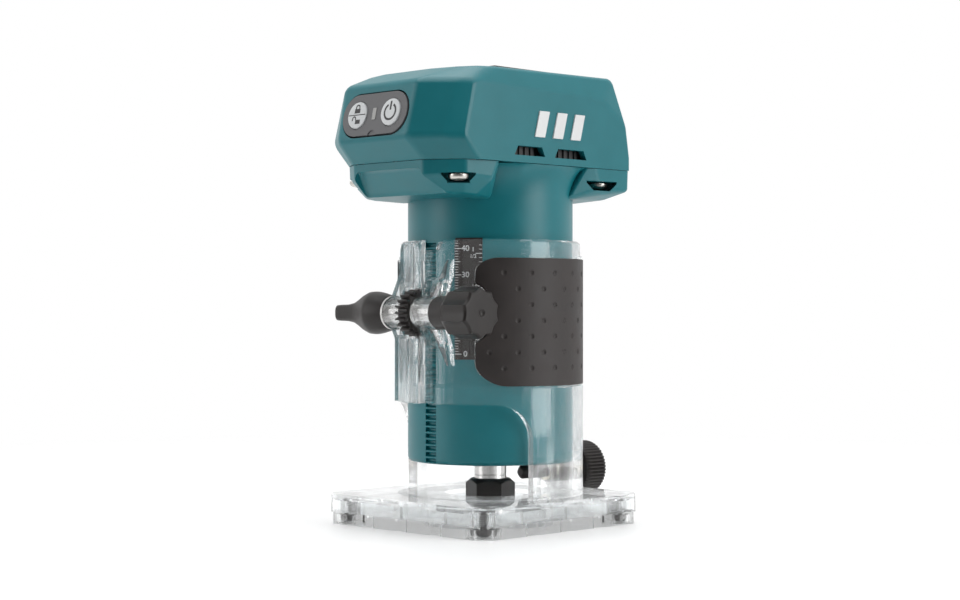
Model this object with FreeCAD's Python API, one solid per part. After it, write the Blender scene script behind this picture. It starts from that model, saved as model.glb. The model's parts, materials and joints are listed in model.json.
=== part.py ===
import FreeCAD, Part
import math
import os

# Cordless trim router: a motor unit that slides in a clear trimmer base.
# Millimetres, +Z up. The origin is on the spindle axis at the sole of the base.
# The control panel, slit, rack and height pinion are at the front, -Y.
# The height knob points to +X, the clamp nut to -X, the guide screw to +Y.

V = FreeCAD.Vector
X_AXIS = V(1, 0, 0)
Y_AXIS = V(0, 1, 0)
Z_AXIS = V(0, 0, 1)
CENTRE = V(0, 0, 0)

# Fits
RUNNING = 0.05

# Base flange and sub-base
BASE_SIDE = 90.0
BASE_SHIFT_Y = -3.85
BASE_CHAMFER = 5.85
SOLE_INSET = 0.7
SOLE_TOP = 4.7
FLANGE_TOP = 11.7
FLANGE_SKIN = 2.5
FLANGE_WALL = 2.2
FLANGE_RIB = 1.6
BIT_HOLE_R = 12.5
FLANGE_HOLE_R = 18.0
BASE_SCREW_INSET = 9.0
BASE_SCREW_BOSS_R = 4.6
M4_CLEAR_R = 2.25
M4_R = 2.0
COUNTERBORE_R = 5.0
COUNTERBORE_TOP = 3.5
SCREW_HEAD_R = 4.4
SCREW_HEAD_LOW = 0.5

# Sleeve
SLEEVE_R = 32.6
SLEEVE_LOWER_R = 36.6
SLEEVE_UPPER_R = 35.4
SLEEVE_STEP_Z = 54.0
SLEEVE_TOP = 110.3
SLIT_HALF = 2.8
SLIT_BAR_TOP = 106.3
SLIT_CORNER_HALF = 5.6
WINDOW_TOP = 47.8
WINDOW_HALF_ANGLE = 71.0
WINDOW_CORNER = 14.0
EAR_OUT = 12.6
EAR_R = 6.0
EAR_ARM_REACH = 19.0
EAR_ARM_SIDE = 13.0
EAR_ARM_BACK = -33.8
REAR_BOSS_R = 6.5
REAR_BOSS_OUT = 41.0

# Grip pads
GRIP_LOW = 54.7
GRIP_TOP = 103.4
GRIP_R = 36.6
GRIP_SEAT_R = 34.0
GRIP_FRONT_Y = -29.8
GRIP_BACK_Y = 31.7
GRIP_LOW_CORNER = 9.0
GRIP_TOP_CORNER = 6.0
GRIP_NOTCH_R = 15.5
GRIP_RIM = 1.2

# Height adjuster: rack on the barrel, pinion in the slit
MODULE = 0.75
PINION_TEETH = 22
PRESSURE_ANGLE = math.radians(20)
TOOTH_THINNING = 0.06
PINION_HALF_WIDTH = 2.4
PINION_Z = 82.5
RACK_HALF_WIDTH = 2.9
RACK_TOP = 110.0
SHAFT_R = 3.0
KNOB_START = 12.9
KNOB_NECK_END = 20.0
KNOB_FLARE_END = 23.0
KNOB_END = 35.3
KNOB_NECK_R = 6.25
KNOB_R = 9.7
KNOB_LOBES = 10

# Clamp nut
CLAMP_START = 13.8
CLAMP_HUB_END = 23.5
CLAMP_HUB_R = 8.25
CLAMP_TIP = 44.8
CLAMP_TIP_HALF = 3.2
CLAMP_THICK = 5.0
CLAMP_INSERT_R = 4.6
CLAMP_INSERT_END = 21.0

# Guide thumb screw
GUIDE_Z = 18.5
GUIDE_R = 2.75
GUIDE_TIP = 17.0
GUIDE_KNOB_R = 11.0
GUIDE_KNOB_START = 46.0
GUIDE_KNOB_END = 58.0
GUIDE_RIBS = 20

# Barrel
BARREL_R = 32.5
BARREL_BORE_R = 30.0
BARREL_LOW = 24.5
BARREL_CHAMFER = 1.8
BARREL_FLOOR = 27.5
NECK_Z = 126.0
SCALE_FROM = 20.6
SCALE_TO = 39.6
SCALE_LOW = 64.7
SCALE_TOP = 111.0
SCALE_THICK = 0.3

# Head
HEAD_LOW = 129.0
SEAM_Z = 138.9
HEAD_FLOOR = 134.5
LOWER_OUTLINE = [
    (19.0, -55.0),
    (28.0, -49.5),
    (32.3, -45.2),
    (33.4, -25.0),
    (35.0, 20.0),
    (35.2, 42.5),
    (33.7, 44.0),
]
HEAD_TOP = 174.0
HEAD_WALL = 2.4
HEAD_SCREWS = [(27.5, -44.5), (-27.5, -44.5), (28.0, 32.0), (-28.0, 32.0)]
HEAD_BOSS_R = 5.2
HEAD_BOSS_LOW = 131.0
HEAD_SCREW_TOP = 152.0
VENTS = [(-22.6, -6.0), (-0.5, 17.5)]
VENT_LOW = 141.7
VENT_TOP = 145.2
VENT_SLANT = 1.5

# Control panel on the leaning front facet
PANEL_FOOT = V(0, -63.0, 147.0)
PANEL_HEAD = V(0, -58.6, 166.0)
PANEL_UP = (PANEL_HEAD - PANEL_FOOT).normalize()
PANEL_OUT = V(0, -PANEL_UP.z, PANEL_UP.y)
PANEL_CENTRE = (PANEL_FOOT + PANEL_HEAD) * 0.5
PANEL_WIDE = 36.0
PANEL_TALL = 17.0
PANEL_CORNER = 8.0
PANEL_THICK = 2.2
PANEL_PROUD = 0.5
BUTTON_X = 9.2
BUTTON_R = 5.2
BUTTON_PROUD = 1.1
BUTTON_THICK = 3.4
BOARD_DEPTH = 6.4
BOARD_THICK = 1.2
SWITCH_TOP_DEPTH = 3.1

# Speed dial
DIAL_Y = -37.0
DIAL_Z = 165.3
DIAL_R = 9.5
DIAL_HALF = 3.0

# Battery mount on top
DECK_HALF = 27.0
DECK_FRONT = -25.0
DECK_BACK = 39.0
DECK_FLOOR = 163.5
DECK_FLOOR_TOP = 166.0
DECK_TOP = 175.6
DECK_WALL = 2.6
LIP_LOW = 172.4
LIP_REACH = 5.5
BLOCK_HALF = 15.0
BLOCK_FRONT = -22.0
BLOCK_BACK = -3.0
BLOCK_TOP = 172.2

# Motor
STATOR_LOW = 62.0
STATOR_TOP = 94.0
STATOR_R = 25.5
STATOR_BORE_R = 13.5
STATOR_YOKE = 4.0
STATOR_TEETH = 6
TOOTH_HALF = 3.0
COIL_THICK = 3.2
ROTOR_R = 12.9
MAGNETS = 4
MAGNET_HALF = 5.5
MAGNET_THICK = 2.4
MAGNET_RADIUS = 9.0
SPINDLE_R = 5.0
BEARING_LOW = 27.6
BEARING_HIGH = 35.6
BEARING_R = 14.0
JOURNAL_R = 6.0
RETAINER_R = 19.5
RETAINER_TOP = 38.0
RETAINER_SCREW_RADIUS = 17.0
FAN_LOW = 42.0
FAN_TOP = 52.5
FAN_R = 27.0
FAN_BLADES = 12
BAFFLE_LOW = 54.5
BAFFLE_TOP = 56.0
RIB_COUNT = 6
BRACKET_LOW = 104.0
BRACKET_TOP = 107.0
BRACKET_BOSS_TOP = 116.0
UPPER_BEARING_R = 11.0
UPPER_JOURNAL_R = 4.0
BOOT_THICK = 0.6
LIGHT_RADIUS = 24.5
LIGHT_ANGLE = 35.0
LIGHT_R = 3.2

# Spindle nose, collet and nut
NOSE_R = 6.35
NOSE_LOW = 11.0
TAPER_TOP = 22.5
SHANK_STOP = 36.5
TAPER_LOW_R = 5.4
TAPER_TOP_R = 4.25
COLLET_LOW = 9.6
COLLET_LOW_R = 4.4
COLLET_BORE_R = 3.175
COLLET_SLOT = 0.8
NUT_FLATS = 17.0
NUT_LOW = 8.6
NUT_TOP = 17.4
NUT_CLEAR = 0.06
NUT_TURN = 41.5      # degrees from +X to the first corner
TERMINAL_X = (-11.0, -5.5, 0.0, 5.5, 11.0)
TRAY_LOW = 136.5
GUIDE_INSERT_R = 4.0

# Pitch circle of the pinion, touching the pitch line of the rack
PINION_PITCH_R = MODULE * PINION_TEETH / 2
PINION_Y = -(BARREL_R - MODULE) - PINION_PITCH_R


def cylinder(r, low, high, x=0.0, y=0.0):
    """Upright cylinder between two heights."""
    return Part.makeCylinder(r, high - low, V(x, y, low))


def ring(outer, inner, low, high, x=0.0, y=0.0):
    """Upright tube between two heights."""
    return cylinder(outer, low, high, x, y).cut(cylinder(inner, low, high, x, y))


def rod(r, start, end, y, z):
    """Cylinder along X between two x values."""
    return Part.makeCylinder(r, end - start, V(start, y, z), X_AXIS)


def box(x, y, z):
    """Box from three (low, high) pairs."""
    return Part.makeBox(x[1] - x[0], y[1] - y[0], z[1] - z[0], V(x[0], y[0], z[0]))


def prism(points, push):
    """Closed polygon of 3-D points, pushed along a vector."""
    return Part.Face(Part.makePolygon(points + [points[0]])).extrude(push)


def turned(profile, axis=Z_AXIS, origin=CENTRE):
    """Solid of revolution from (radius, height) pairs about an axis through the origin point."""
    wire = Part.makePolygon([V(r, 0, h) for r, h in profile + [profile[0]]])
    solid = Part.Face(wire).revolve(CENTRE, Z_AXIS, 360)
    solid.Placement = FreeCAD.Placement(origin, FreeCAD.Rotation(Z_AXIS, axis))
    return solid


def turned_about(shape, degrees, origin=CENTRE, axis=Z_AXIS):
    """Copy of a shape, turned about an axis."""
    copy = shape.copy()
    copy.rotate(origin, axis, degrees)
    return copy


def around(shape, count, start=0.0, origin=CENTRE, axis=Z_AXIS):
    """Evenly spaced copies of a shape about an axis."""
    return [turned_about(shape, start + 360.0 * i / count, origin, axis) for i in range(count)]


def mirrored(shape):
    """Copy of a shape on the other side of the YZ plane."""
    return shape.mirror(CENTRE, X_AXIS)


def both_sides(shape):
    """A shape and its mirror image."""
    return [shape, mirrored(shape)]


def fused(shapes):
    """One solid from overlapping shapes."""
    return shapes[0].multiFuse(shapes[1:]).removeSplitter()


def from_front(r, degrees, z=0.0):
    """Point on a circle about the spindle, by its angle from -Y toward +X."""
    turn = math.radians(degrees)
    return V(r * math.sin(turn), -r * math.cos(turn), z)


def wedge(degrees, reach, low, high):
    """Upright prism over the sector within so many degrees of -Y, up to 90."""
    steps = [-degrees, -degrees / 2, 0.0, degrees / 2, degrees]
    return prism([V(0, 0, low)] + [from_front(reach, a, low) for a in steps], V(0, 0, high - low))


def sector_ring(outer, inner, start, end, low, high):
    """Part of a tube between two angles from -Y toward +X, at most 90 degrees apart."""
    middle = (start + end) / 2
    points = [V(0, 0, low)] + [from_front(2 * outer, a, low) for a in (start, middle, end)]
    return ring(outer, inner, low, high).common(prism(points, V(0, 0, high - low)))


def keep(name, *shapes):
    """Write one node; several shapes stay separate solids."""
    shape = shapes[0] if len(shapes) == 1 else Part.makeCompound(list(shapes))
    if not shape.isValid():
        print("not valid:", name)
    shape.exportStep(f"parts/{name}.step")
    print(f"{name}: {len(shape.Solids)} solids, {shape.Volume:.0f} mm3")


def base_outline(inset, z):
    """Square outline with cut corners."""
    half = BASE_SIDE / 2 - inset
    cut = BASE_CHAMFER - inset * (2 - math.sqrt(2))
    corners = []
    for sx, sy in ((1, 1), (-1, 1), (-1, -1), (1, -1)):
        near_x = V(sx * (half - cut), BASE_SHIFT_Y + sy * half, z)
        near_y = V(sx * half, BASE_SHIFT_Y + sy * (half - cut), z)
        corners += [near_y, near_x] if sx * sy > 0 else [near_x, near_y]
    return corners


def base_screw_places():
    """Centres of the four corner screws."""
    reach = BASE_SIDE / 2 - BASE_SCREW_INSET
    return [(sx * reach, BASE_SHIFT_Y + sy * reach) for sx in (1, -1) for sy in (1, -1)]


def make_base_plate():
    """Clear sub-base with notched edges, bit opening and counterbored screw holes."""
    plate = prism(base_outline(SOLE_INSET, 0), V(0, 0, SOLE_TOP))
    notch = box((-3, 3), (-1.2, 2), (-1, SOLE_TOP + 1))
    notches = []
    for along in (-18.5, 0.0, 18.5):
        one = notch.copy()
        one.translate(V(along, BASE_SIDE / 2 - SOLE_INSET, 0))
        notches += around(one, 4)
    for one in notches:
        one.translate(V(0, BASE_SHIFT_Y, 0))
    holes = [cylinder(BIT_HOLE_R, -1, SOLE_TOP + 1)]
    for x, y in base_screw_places():
        holes.append(cylinder(M4_CLEAR_R, -1, SOLE_TOP + 1, x, y))
        holes.append(cylinder(COUNTERBORE_R, -1, COUNTERBORE_TOP, x, y))
    return plate.cut(notches + holes)


def make_base_screws():
    """Four pan-head screws, driven from below."""
    screws = []
    for x, y in base_screw_places():
        head = cylinder(SCREW_HEAD_R, SCREW_HEAD_LOW, COUNTERBORE_TOP, x, y)
        head = head.makeChamfer(0.6, [e for e in head.Edges if e.BoundBox.ZMax < SCREW_HEAD_LOW + 0.1])
        shank = cylinder(M4_R, COUNTERBORE_TOP - 0.5, FLANGE_TOP - 2.2, x, y)
        cross = [box((x - 2.2, x + 2.2), (y - 0.5, y + 0.5), (0, 1.9)),
                 box((x - 0.5, x + 0.5), (y - 2.2, y + 2.2), (0, 1.9))]
        screws.append(head.fuse(shank).cut(cross))
    return screws


def make_flange():
    """Square flange, hollow below, with ribs, screw bosses and a ring under the sleeve."""
    plate = prism(base_outline(0, SOLE_TOP), V(0, 0, FLANGE_TOP - SOLE_TOP))
    pocket = prism(base_outline(FLANGE_WALL, SOLE_TOP - 1), V(0, 0, FLANGE_TOP - FLANGE_SKIN - SOLE_TOP + 1))
    plate = plate.cut(pocket)
    inside = BASE_SIDE / 2 - 1
    low, high = SOLE_TOP, FLANGE_TOP - 1
    ribs = []
    for place in (-24.0, 0.0, 24.0):
        ribs.append(box((place - FLANGE_RIB / 2, place + FLANGE_RIB / 2),
                        (BASE_SHIFT_Y - inside, BASE_SHIFT_Y + inside), (low, high)))
        ribs.append(box((-inside, inside),
                        (BASE_SHIFT_Y + place - FLANGE_RIB / 2, BASE_SHIFT_Y + place + FLANGE_RIB / 2),
                        (low, high)))
    ribs = [rib.cut(cylinder(SLEEVE_R, 0, FLANGE_TOP)) for rib in ribs]
    bosses = [cylinder(BASE_SCREW_BOSS_R, low, high, x, y) for x, y in base_screw_places()]
    collar = ring(SLEEVE_LOWER_R, SLEEVE_R, low, high)
    well = ring(FLANGE_HOLE_R + FLANGE_RIB, FLANGE_HOLE_R, low, high)
    outline = prism(base_outline(0, SOLE_TOP), V(0, 0, FLANGE_TOP - SOLE_TOP))
    return [plate, collar.common(outline), well] + ribs + bosses


def make_window_cutter():
    """Front window: a sector with rounded upper corners."""
    mid_r = (SLEEVE_R + SLEEVE_LOWER_R) / 2
    corner_angle = math.degrees(WINDOW_CORNER / mid_r)
    inner_angle = WINDOW_HALF_ANGLE - corner_angle
    corner_r = mid_r * math.sin(math.radians(corner_angle))
    cutters = [wedge(WINDOW_HALF_ANGLE, 60, FLANGE_TOP, WINDOW_TOP - WINDOW_CORNER),
               wedge(inner_angle, 60, FLANGE_TOP, WINDOW_TOP)]
    for side in (-1, 1):
        start = from_front(20, side * inner_angle, WINDOW_TOP - WINDOW_CORNER)
        cutters.append(Part.makeCylinder(corner_r, 30, start, from_front(1, side * inner_angle)))
    return cutters


def make_ears():
    """Two clamp ears with diagonal arms back to the sleeve."""
    lean = EAR_ARM_SIDE - 7.7
    boss = rod(EAR_R, SLIT_HALF, EAR_OUT, PINION_Y, PINION_Z)
    web = box((SLIT_HALF, 6.5), (PINION_Y, -33.5), (PINION_Z - 9, PINION_Z + 9))
    parts = [boss, web]
    for way in (-1, 1):
        foot = [V(6.0, PINION_Y - 1.0, PINION_Z + way * 2), V(9.4, PINION_Y - 1.0, PINION_Z + way * 2),
                V(9.4, PINION_Y + 3.5, PINION_Z + way * 2), V(6.0, PINION_Y + 3.5, PINION_Z + way * 2)]
        parts.append(prism(foot, V(lean, EAR_ARM_BACK - PINION_Y - 1.0, way * EAR_ARM_REACH)))
    bar = box((SLIT_HALF, SLIT_CORNER_HALF), (-38.0, -33.0), (WINDOW_TOP + 0.2, SLIT_BAR_TOP))
    right = parts + [bar]
    thick_bar = box((-11.0, -SLIT_HALF), (-41.0, -32.0), (48.6, PINION_Z - 9))
    top_bar = box((-10.6, -SLIT_HALF), (-38.5, -32.0), (PINION_Z + 8, SLEEVE_TOP - 0.6))
    top_bar = top_bar.makeFillet(3.6, [e for e in top_bar.Edges
                                       if e.BoundBox.ZMin > SLEEVE_TOP - 1 and e.BoundBox.XLength < 0.1])
    thick_bars = [bar.cut(cylinder(SLEEVE_R, 40, 120)) for bar in (thick_bar, top_bar)]
    return right + [mirrored(shape) for shape in right] + thick_bars


def grip_side_profile(inset):
    """Outline of the right pad seen from +X, pushed through the sleeve wall."""
    y0, y1 = GRIP_FRONT_Y + inset, GRIP_BACK_Y - inset
    z0, z1 = GRIP_LOW + inset, GRIP_TOP - inset
    low, top = GRIP_LOW_CORNER - inset, GRIP_TOP_CORNER - inset
    slab = box((12, 45), (y0, y1), (z0, z1))
    lows = [e for e in slab.Edges if edge_at(e, y0, z0) or edge_at(e, y1, z0)]
    slab = slab.makeFillet(low, lows)
    tops = [e for e in slab.Edges if edge_at(e, y0, z1) or edge_at(e, y1, z1)]
    slab = slab.makeFillet(top, tops)
    return slab.cut(rod(GRIP_NOTCH_R + inset, 0, 50, PINION_Y, PINION_Z))


def edge_at(edge, y, z):
    """Whether a straight edge runs along X at a given y and z."""
    b = edge.BoundBox
    return max(abs(b.YMin - y), abs(b.YMax - y), abs(b.ZMin - z), abs(b.ZMax - z)) < 0.01


def make_grip():
    """Right grip pad."""
    shell = ring(GRIP_R, GRIP_SEAT_R + 0.02, GRIP_LOW, GRIP_TOP)
    return shell.common(grip_side_profile(0.1))


def make_base_housing():
    """Clear moulding: flange, split sleeve, ears and rear boss."""
    sleeve = turned([(SLEEVE_R, SOLE_TOP), (SLEEVE_LOWER_R, SOLE_TOP), (SLEEVE_LOWER_R, SLEEVE_STEP_Z),
                     (SLEEVE_UPPER_R, SLEEVE_STEP_Z + 1.2), (SLEEVE_UPPER_R, SLEEVE_TOP),
                     (SLEEVE_R, SLEEVE_TOP)])
    rim = ring(GRIP_R - 0.4, SLEEVE_R, SLEEVE_STEP_Z, GRIP_TOP + GRIP_RIM)
    rim = rim.common(grip_side_profile(-GRIP_RIM))
    sleeve = fused([sleeve] + both_sides(rim)).cut(make_window_cutter())
    rear_boss = Part.makeCylinder(REAR_BOSS_R, REAR_BOSS_OUT - 33.5, V(0, 33.5, GUIDE_Z), Y_AXIS)
    rear_foot = box((-REAR_BOSS_R, REAR_BOSS_R), (34.0, REAR_BOSS_OUT), (FLANGE_TOP - 1, GUIDE_Z))
    rear_foot = rear_foot.common(prism(base_outline(0.2, 0), V(0, 0, 40)))
    body = fused([sleeve] + make_flange() + make_ears() + [rear_boss, rear_foot])
    cutters = [
        box((-SLIT_HALF, SLIT_HALF), (-50, -25), (WINDOW_TOP - 1, SLEEVE_TOP + 1)),
        box((-SLIT_HALF, SLIT_CORNER_HALF), (-50, -25), (SLIT_BAR_TOP, SLEEVE_TOP + 1)),
        rod(SHAFT_R + RUNNING, -20, 20, PINION_Y, PINION_Z),
        Part.makeCylinder(GUIDE_INSERT_R, 12, V(0, 30, GUIDE_Z), Y_AXIS),
        cylinder(FLANGE_HOLE_R, 0, FLANGE_TOP + 1),
        cylinder(SLEEVE_R, FLANGE_TOP, SLEEVE_TOP + 1),
    ]
    cutters += [cylinder(M4_R + 0.01, 0, FLANGE_TOP - 2, x, y) for x, y in base_screw_places()]
    seat = ring(GRIP_R + 5, GRIP_SEAT_R, GRIP_LOW - 1, GRIP_TOP + 1).common(grip_side_profile(0))
    return body.cut(cutters + both_sides(seat))


def involute(angle):
    """Involute function."""
    return math.tan(angle) - angle


def make_pinion():
    """Spur pinion on the cross shaft, one tooth pointing at the rack."""
    base_r = PINION_PITCH_R * math.cos(PRESSURE_ANGLE)
    root_r = PINION_PITCH_R - 1.25 * MODULE
    tip_r = PINION_PITCH_R + MODULE
    half_pitch = (math.pi * MODULE / 2 - 2 * TOOTH_THINNING) / 2 / PINION_PITCH_R + involute(PRESSURE_ANGLE)
    flank = [(root_r, half_pitch)]
    for r in (base_r, (base_r + PINION_PITCH_R) / 2, PINION_PITCH_R, (PINION_PITCH_R + tip_r) / 2, tip_r):
        flank.append((r, half_pitch - involute(math.acos(min(1.0, base_r / r)))))
    tooth = [(r, -a) for r, a in flank] + [(r, a) for r, a in reversed(flank)]
    points = []
    for k in range(PINION_TEETH):
        turn = 2 * math.pi * k / PINION_TEETH
        points += [V(-PINION_HALF_WIDTH, PINION_Y + r * math.cos(turn + a), PINION_Z + r * math.sin(turn + a))
                   for r, a in tooth]
    gear = prism(points, V(2 * PINION_HALF_WIDTH, 0, 0))
    return gear.cut(rod(SHAFT_R, -5, 5, PINION_Y, PINION_Z))


def make_rack_gaps():
    """Tooth gaps cut into the front of the barrel, in mesh with the pinion."""
    pitch = math.pi * MODULE
    pitch_y = PINION_Y + PINION_PITCH_R
    gaps = []
    lowest = int((PINION_Z - BARREL_LOW) / pitch)
    highest = int((RACK_TOP - PINION_Z) / pitch)
    for k in range(-lowest, highest + 1):
        z = PINION_Z + k * pitch
        section = []
        for depth in (-2.0 * MODULE, 1.25 * MODULE):
            half = pitch / 4 - depth * math.tan(PRESSURE_ANGLE) + TOOTH_THINNING
            section.append((pitch_y + depth, half))
        (outer_y, outer_half), (inner_y, inner_half) = section
        points = [V(-RACK_HALF_WIDTH, outer_y, z - outer_half), V(-RACK_HALF_WIDTH, outer_y, z + outer_half),
                  V(-RACK_HALF_WIDTH, inner_y, z + inner_half), V(-RACK_HALF_WIDTH, inner_y, z - inner_half)]
        gaps.append(prism(points, V(2 * RACK_HALF_WIDTH, 0, 0)))
    tip_y = pitch_y - MODULE
    gaps.append(box((-RACK_HALF_WIDTH, RACK_HALF_WIDTH), (tip_y - 3, tip_y), (BARREL_LOW - 1, RACK_TOP)))
    return gaps


def make_adjusting_knob():
    """Lobed knob with a flared neck, bored for the shaft."""
    profile = [(0, KNOB_START), (KNOB_NECK_R, KNOB_START), (KNOB_NECK_R, KNOB_NECK_END),
               (KNOB_R - 0.3, KNOB_FLARE_END), (KNOB_R, KNOB_FLARE_END + 0.8), (KNOB_R, KNOB_END - 1.0),
               (KNOB_R - 1.0, KNOB_END), (1.6, KNOB_END), (0, KNOB_END - 0.8)]
    knob = turned(profile, X_AXIS, V(0, PINION_Y, PINION_Z))
    flute = rod(2.0, KNOB_FLARE_END + 0.5, KNOB_END + 1, PINION_Y, PINION_Z + KNOB_R + 1.0)
    flutes = around(flute, KNOB_LOBES, 18.0, V(0, PINION_Y, PINION_Z), X_AXIS)
    bore = rod(SHAFT_R, KNOB_START - 1, KNOB_END - 6, PINION_Y, PINION_Z)
    return knob.cut(flutes + [bore])


def make_clamp_nut():
    """Thumb nut: round hub with a tapering flat paddle."""
    z, t = PINION_Z, CLAMP_THICK / 2
    hub = turned([(0, -CLAMP_HUB_END - 3), (5.5, -CLAMP_HUB_END - 3), (CLAMP_HUB_R, -CLAMP_HUB_END),
                  (CLAMP_HUB_R, -CLAMP_HUB_END + 3.0), (CLAMP_HUB_R - 1.8, -CLAMP_START), (0, -CLAMP_START)],
                 X_AXIS, V(0, PINION_Y, z))
    outline = [(-CLAMP_HUB_END + 1, 7.8), (-28.0, 6.6), (-33.0, 4.2), (-38.0, CLAMP_TIP_HALF - 0.1),
               (-CLAMP_TIP + 1, CLAMP_TIP_HALF), (-CLAMP_TIP, CLAMP_TIP_HALF - 1)]
    top = [V(x, PINION_Y - t, z + h) for x, h in outline]
    low = [V(x, PINION_Y - t, z - h) for x, h in reversed(outline)]
    paddle = prism(top + low, V(0, CLAMP_THICK, 0))
    bore = rod(CLAMP_INSERT_R, -CLAMP_INSERT_END, -CLAMP_START + 1, PINION_Y, z)
    return hub.fuse(paddle).removeSplitter().cut(bore)


def make_guide_knob():
    """Ribbed round knob of the guide screw."""
    knob = Part.makeCylinder(GUIDE_KNOB_R, GUIDE_KNOB_END - GUIDE_KNOB_START,
                             V(0, GUIDE_KNOB_START, GUIDE_Z), Y_AXIS)
    rims = [e for e in knob.Edges if isinstance(e.Curve, Part.Circle)]
    knob = knob.makeChamfer(1.2, rims)
    groove = Part.makeCylinder(0.9, 30, V(0, 40, GUIDE_Z + GUIDE_KNOB_R + 0.2), Y_AXIS)
    grooves = around(groove, GUIDE_RIBS, 0, V(0, 0, GUIDE_Z), Y_AXIS)
    bore = Part.makeCylinder(GUIDE_R, GUIDE_KNOB_END - GUIDE_KNOB_START - 3, V(0, GUIDE_KNOB_START, GUIDE_Z),
                             Y_AXIS)
    return knob.cut(grooves + [bore])


def make_guide_shank():
    """Screw shank with a rounded tip."""
    end = GUIDE_KNOB_END - 3
    profile = [(0, GUIDE_TIP), (1.4, GUIDE_TIP + 0.3), (GUIDE_R, GUIDE_TIP + 2.2), (GUIDE_R, end), (0, end)]
    return turned(profile, Y_AXIS, V(0, 0, GUIDE_Z))


def head_planes():
    """Outer planes of the head as (point, outward normal) pairs."""
    def through(a, b, c):
        normal = (b - a).cross(c - a).normalize()
        return (a, normal if normal.dot(a - V(0, -5, 152)) > 0 else normal * -1)

    nose_back = V(0, -55.0, SEAM_Z)
    flank_a, flank_b = V(18.9, -63.0, 147), V(30.0, -53.7, 142)
    cheek_a, cheek_c = V(19.9, -58.1, 168.2), V(35.0, -48.7, 142)
    brow = PANEL_FOOT + PANEL_UP * ((cheek_a.z - PANEL_FOOT.z) / PANEL_UP.z)
    middle = [
        (V(0, 0, HEAD_TOP), Z_AXIS),
        (V(0, 0, SEAM_Z), Z_AXIS * -1),
        (PANEL_FOOT, PANEL_OUT),
        through(PANEL_FOOT, V(10, PANEL_FOOT.y, PANEL_FOOT.z), nose_back),
        through(brow, V(10, brow.y, brow.z), V(0, -45, HEAD_TOP)),
        (V(0, 44.0, 141), Y_AXIS),
        through(V(0, 44.0, 145), V(10, 44.0, 145), V(0, 42.3, 156)),
        through(V(0, 42.3, 156), V(10, 42.3, 156), V(0, 37.3, HEAD_TOP)),
    ]
    right = [
        through(flank_a, flank_b, cheek_a),
        through(flank_b, cheek_c, V(35.0, -43.0, 166)),
        through(cheek_a, V(29.7, -47.6, 168.4), V(24.0, -41.0, HEAD_TOP)),
        through(flank_a, flank_b, V(19.0, -55.0, SEAM_Z)),
        through(flank_b, cheek_c, V(32.3, -45.2, SEAM_Z)),
        through(V(35.3, 0, 147), V(35.3, 10, 147), V(34.8, 0, 166)),
        through(V(34.8, 0, 166), V(34.8, 10, 166), V(31.5, 0, HEAD_TOP)),
        through(V(35.3, 30, 147), cheek_c, V(35.0, 20, SEAM_Z)),
        through(V(34.8, 28.0, 166), V(35.3, 37.6, 148), V(33.0, 38.9, 166)),
    ]
    left = [(V(-p.x, p.y, p.z), V(-n.x, n.y, n.z)) for p, n in right]
    return middle + right + left


def head_block(shrink):
    """The head's outer form, or the same form with every plane moved inward."""
    block = box((-60, 60), (-90, 70), (120, 190))
    for point, normal in head_planes():
        block = block.cut(Part.makeCylinder(300, 300, point - normal * shrink, normal))
    return block


def lower_block(inset, low, high):
    """Upright block with the outline of the lower head, or an inset of it."""
    points = [V(x, y, low) for x, y in LOWER_OUTLINE]
    points += [V(-p.x, p.y, low) for p in reversed(points)]
    wire = Part.makePolygon(points + [points[0]])
    if inset:
        wire = wire.makeOffset2D(-inset, 2)
    return Part.Face(wire).extrude(V(0, 0, high - low))


def on_panel(shape):
    """Place a shape modelled flat: X across, Y up the panel, Z out of it."""
    turn = FreeCAD.Rotation(X_AXIS, PANEL_UP, PANEL_OUT, "XYZ")
    shape.Placement = FreeCAD.Placement(PANEL_CENTRE, turn)
    return shape


def rounded_plate(wide, tall, corner, low, high):
    """Flat plate with rounded corners, centred on the origin."""
    plate = box((-wide / 2, wide / 2), (-tall / 2, tall / 2), (low, high))
    return plate.makeFillet(corner, [e for e in plate.Edges if e.BoundBox.ZLength > (high - low) / 2])


def vent_cutter(start, end):
    """Slanted slot through a side wall of the head."""
    points = [V(20, start, VENT_LOW), V(20, end, VENT_LOW), V(20, end - VENT_SLANT, VENT_TOP),
              V(20, start + VENT_SLANT, VENT_TOP)]
    return prism(points, V(30, 0, 0))


def make_head_cover():
    """Upper shell of the head."""
    outer = head_block(0)
    inner = head_block(HEAD_WALL)
    mouth = lower_block(HEAD_WALL, SEAM_Z - 1, SEAM_Z + HEAD_WALL + 0.5)
    shell = outer.cut([inner, mouth])
    columns = [cylinder(4.2, SEAM_Z, HEAD_TOP - 8, x, y) for x, y in HEAD_SCREWS]
    columns = [column.common(outer) for column in columns]
    shell = fused([shell] + columns)
    cutters = [cylinder(M4_R, SEAM_Z - 1, HEAD_SCREW_TOP, x, y) for x, y in HEAD_SCREWS]
    cutters += [box((-DECK_HALF, DECK_HALF), (DECK_FRONT, 60), (DECK_FLOOR, 190))]
    cutters += [rod(DIAL_R + 0.5, -DIAL_HALF - 0.4, DIAL_HALF + 0.4, DIAL_Y, DIAL_Z)]
    cutters += [on_panel(rounded_plate(PANEL_WIDE, PANEL_TALL, PANEL_CORNER, -6, 3))]
    for start, end in VENTS:
        cutters += both_sides(vent_cutter(start, end))
    return shell.cut(cutters)


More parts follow.
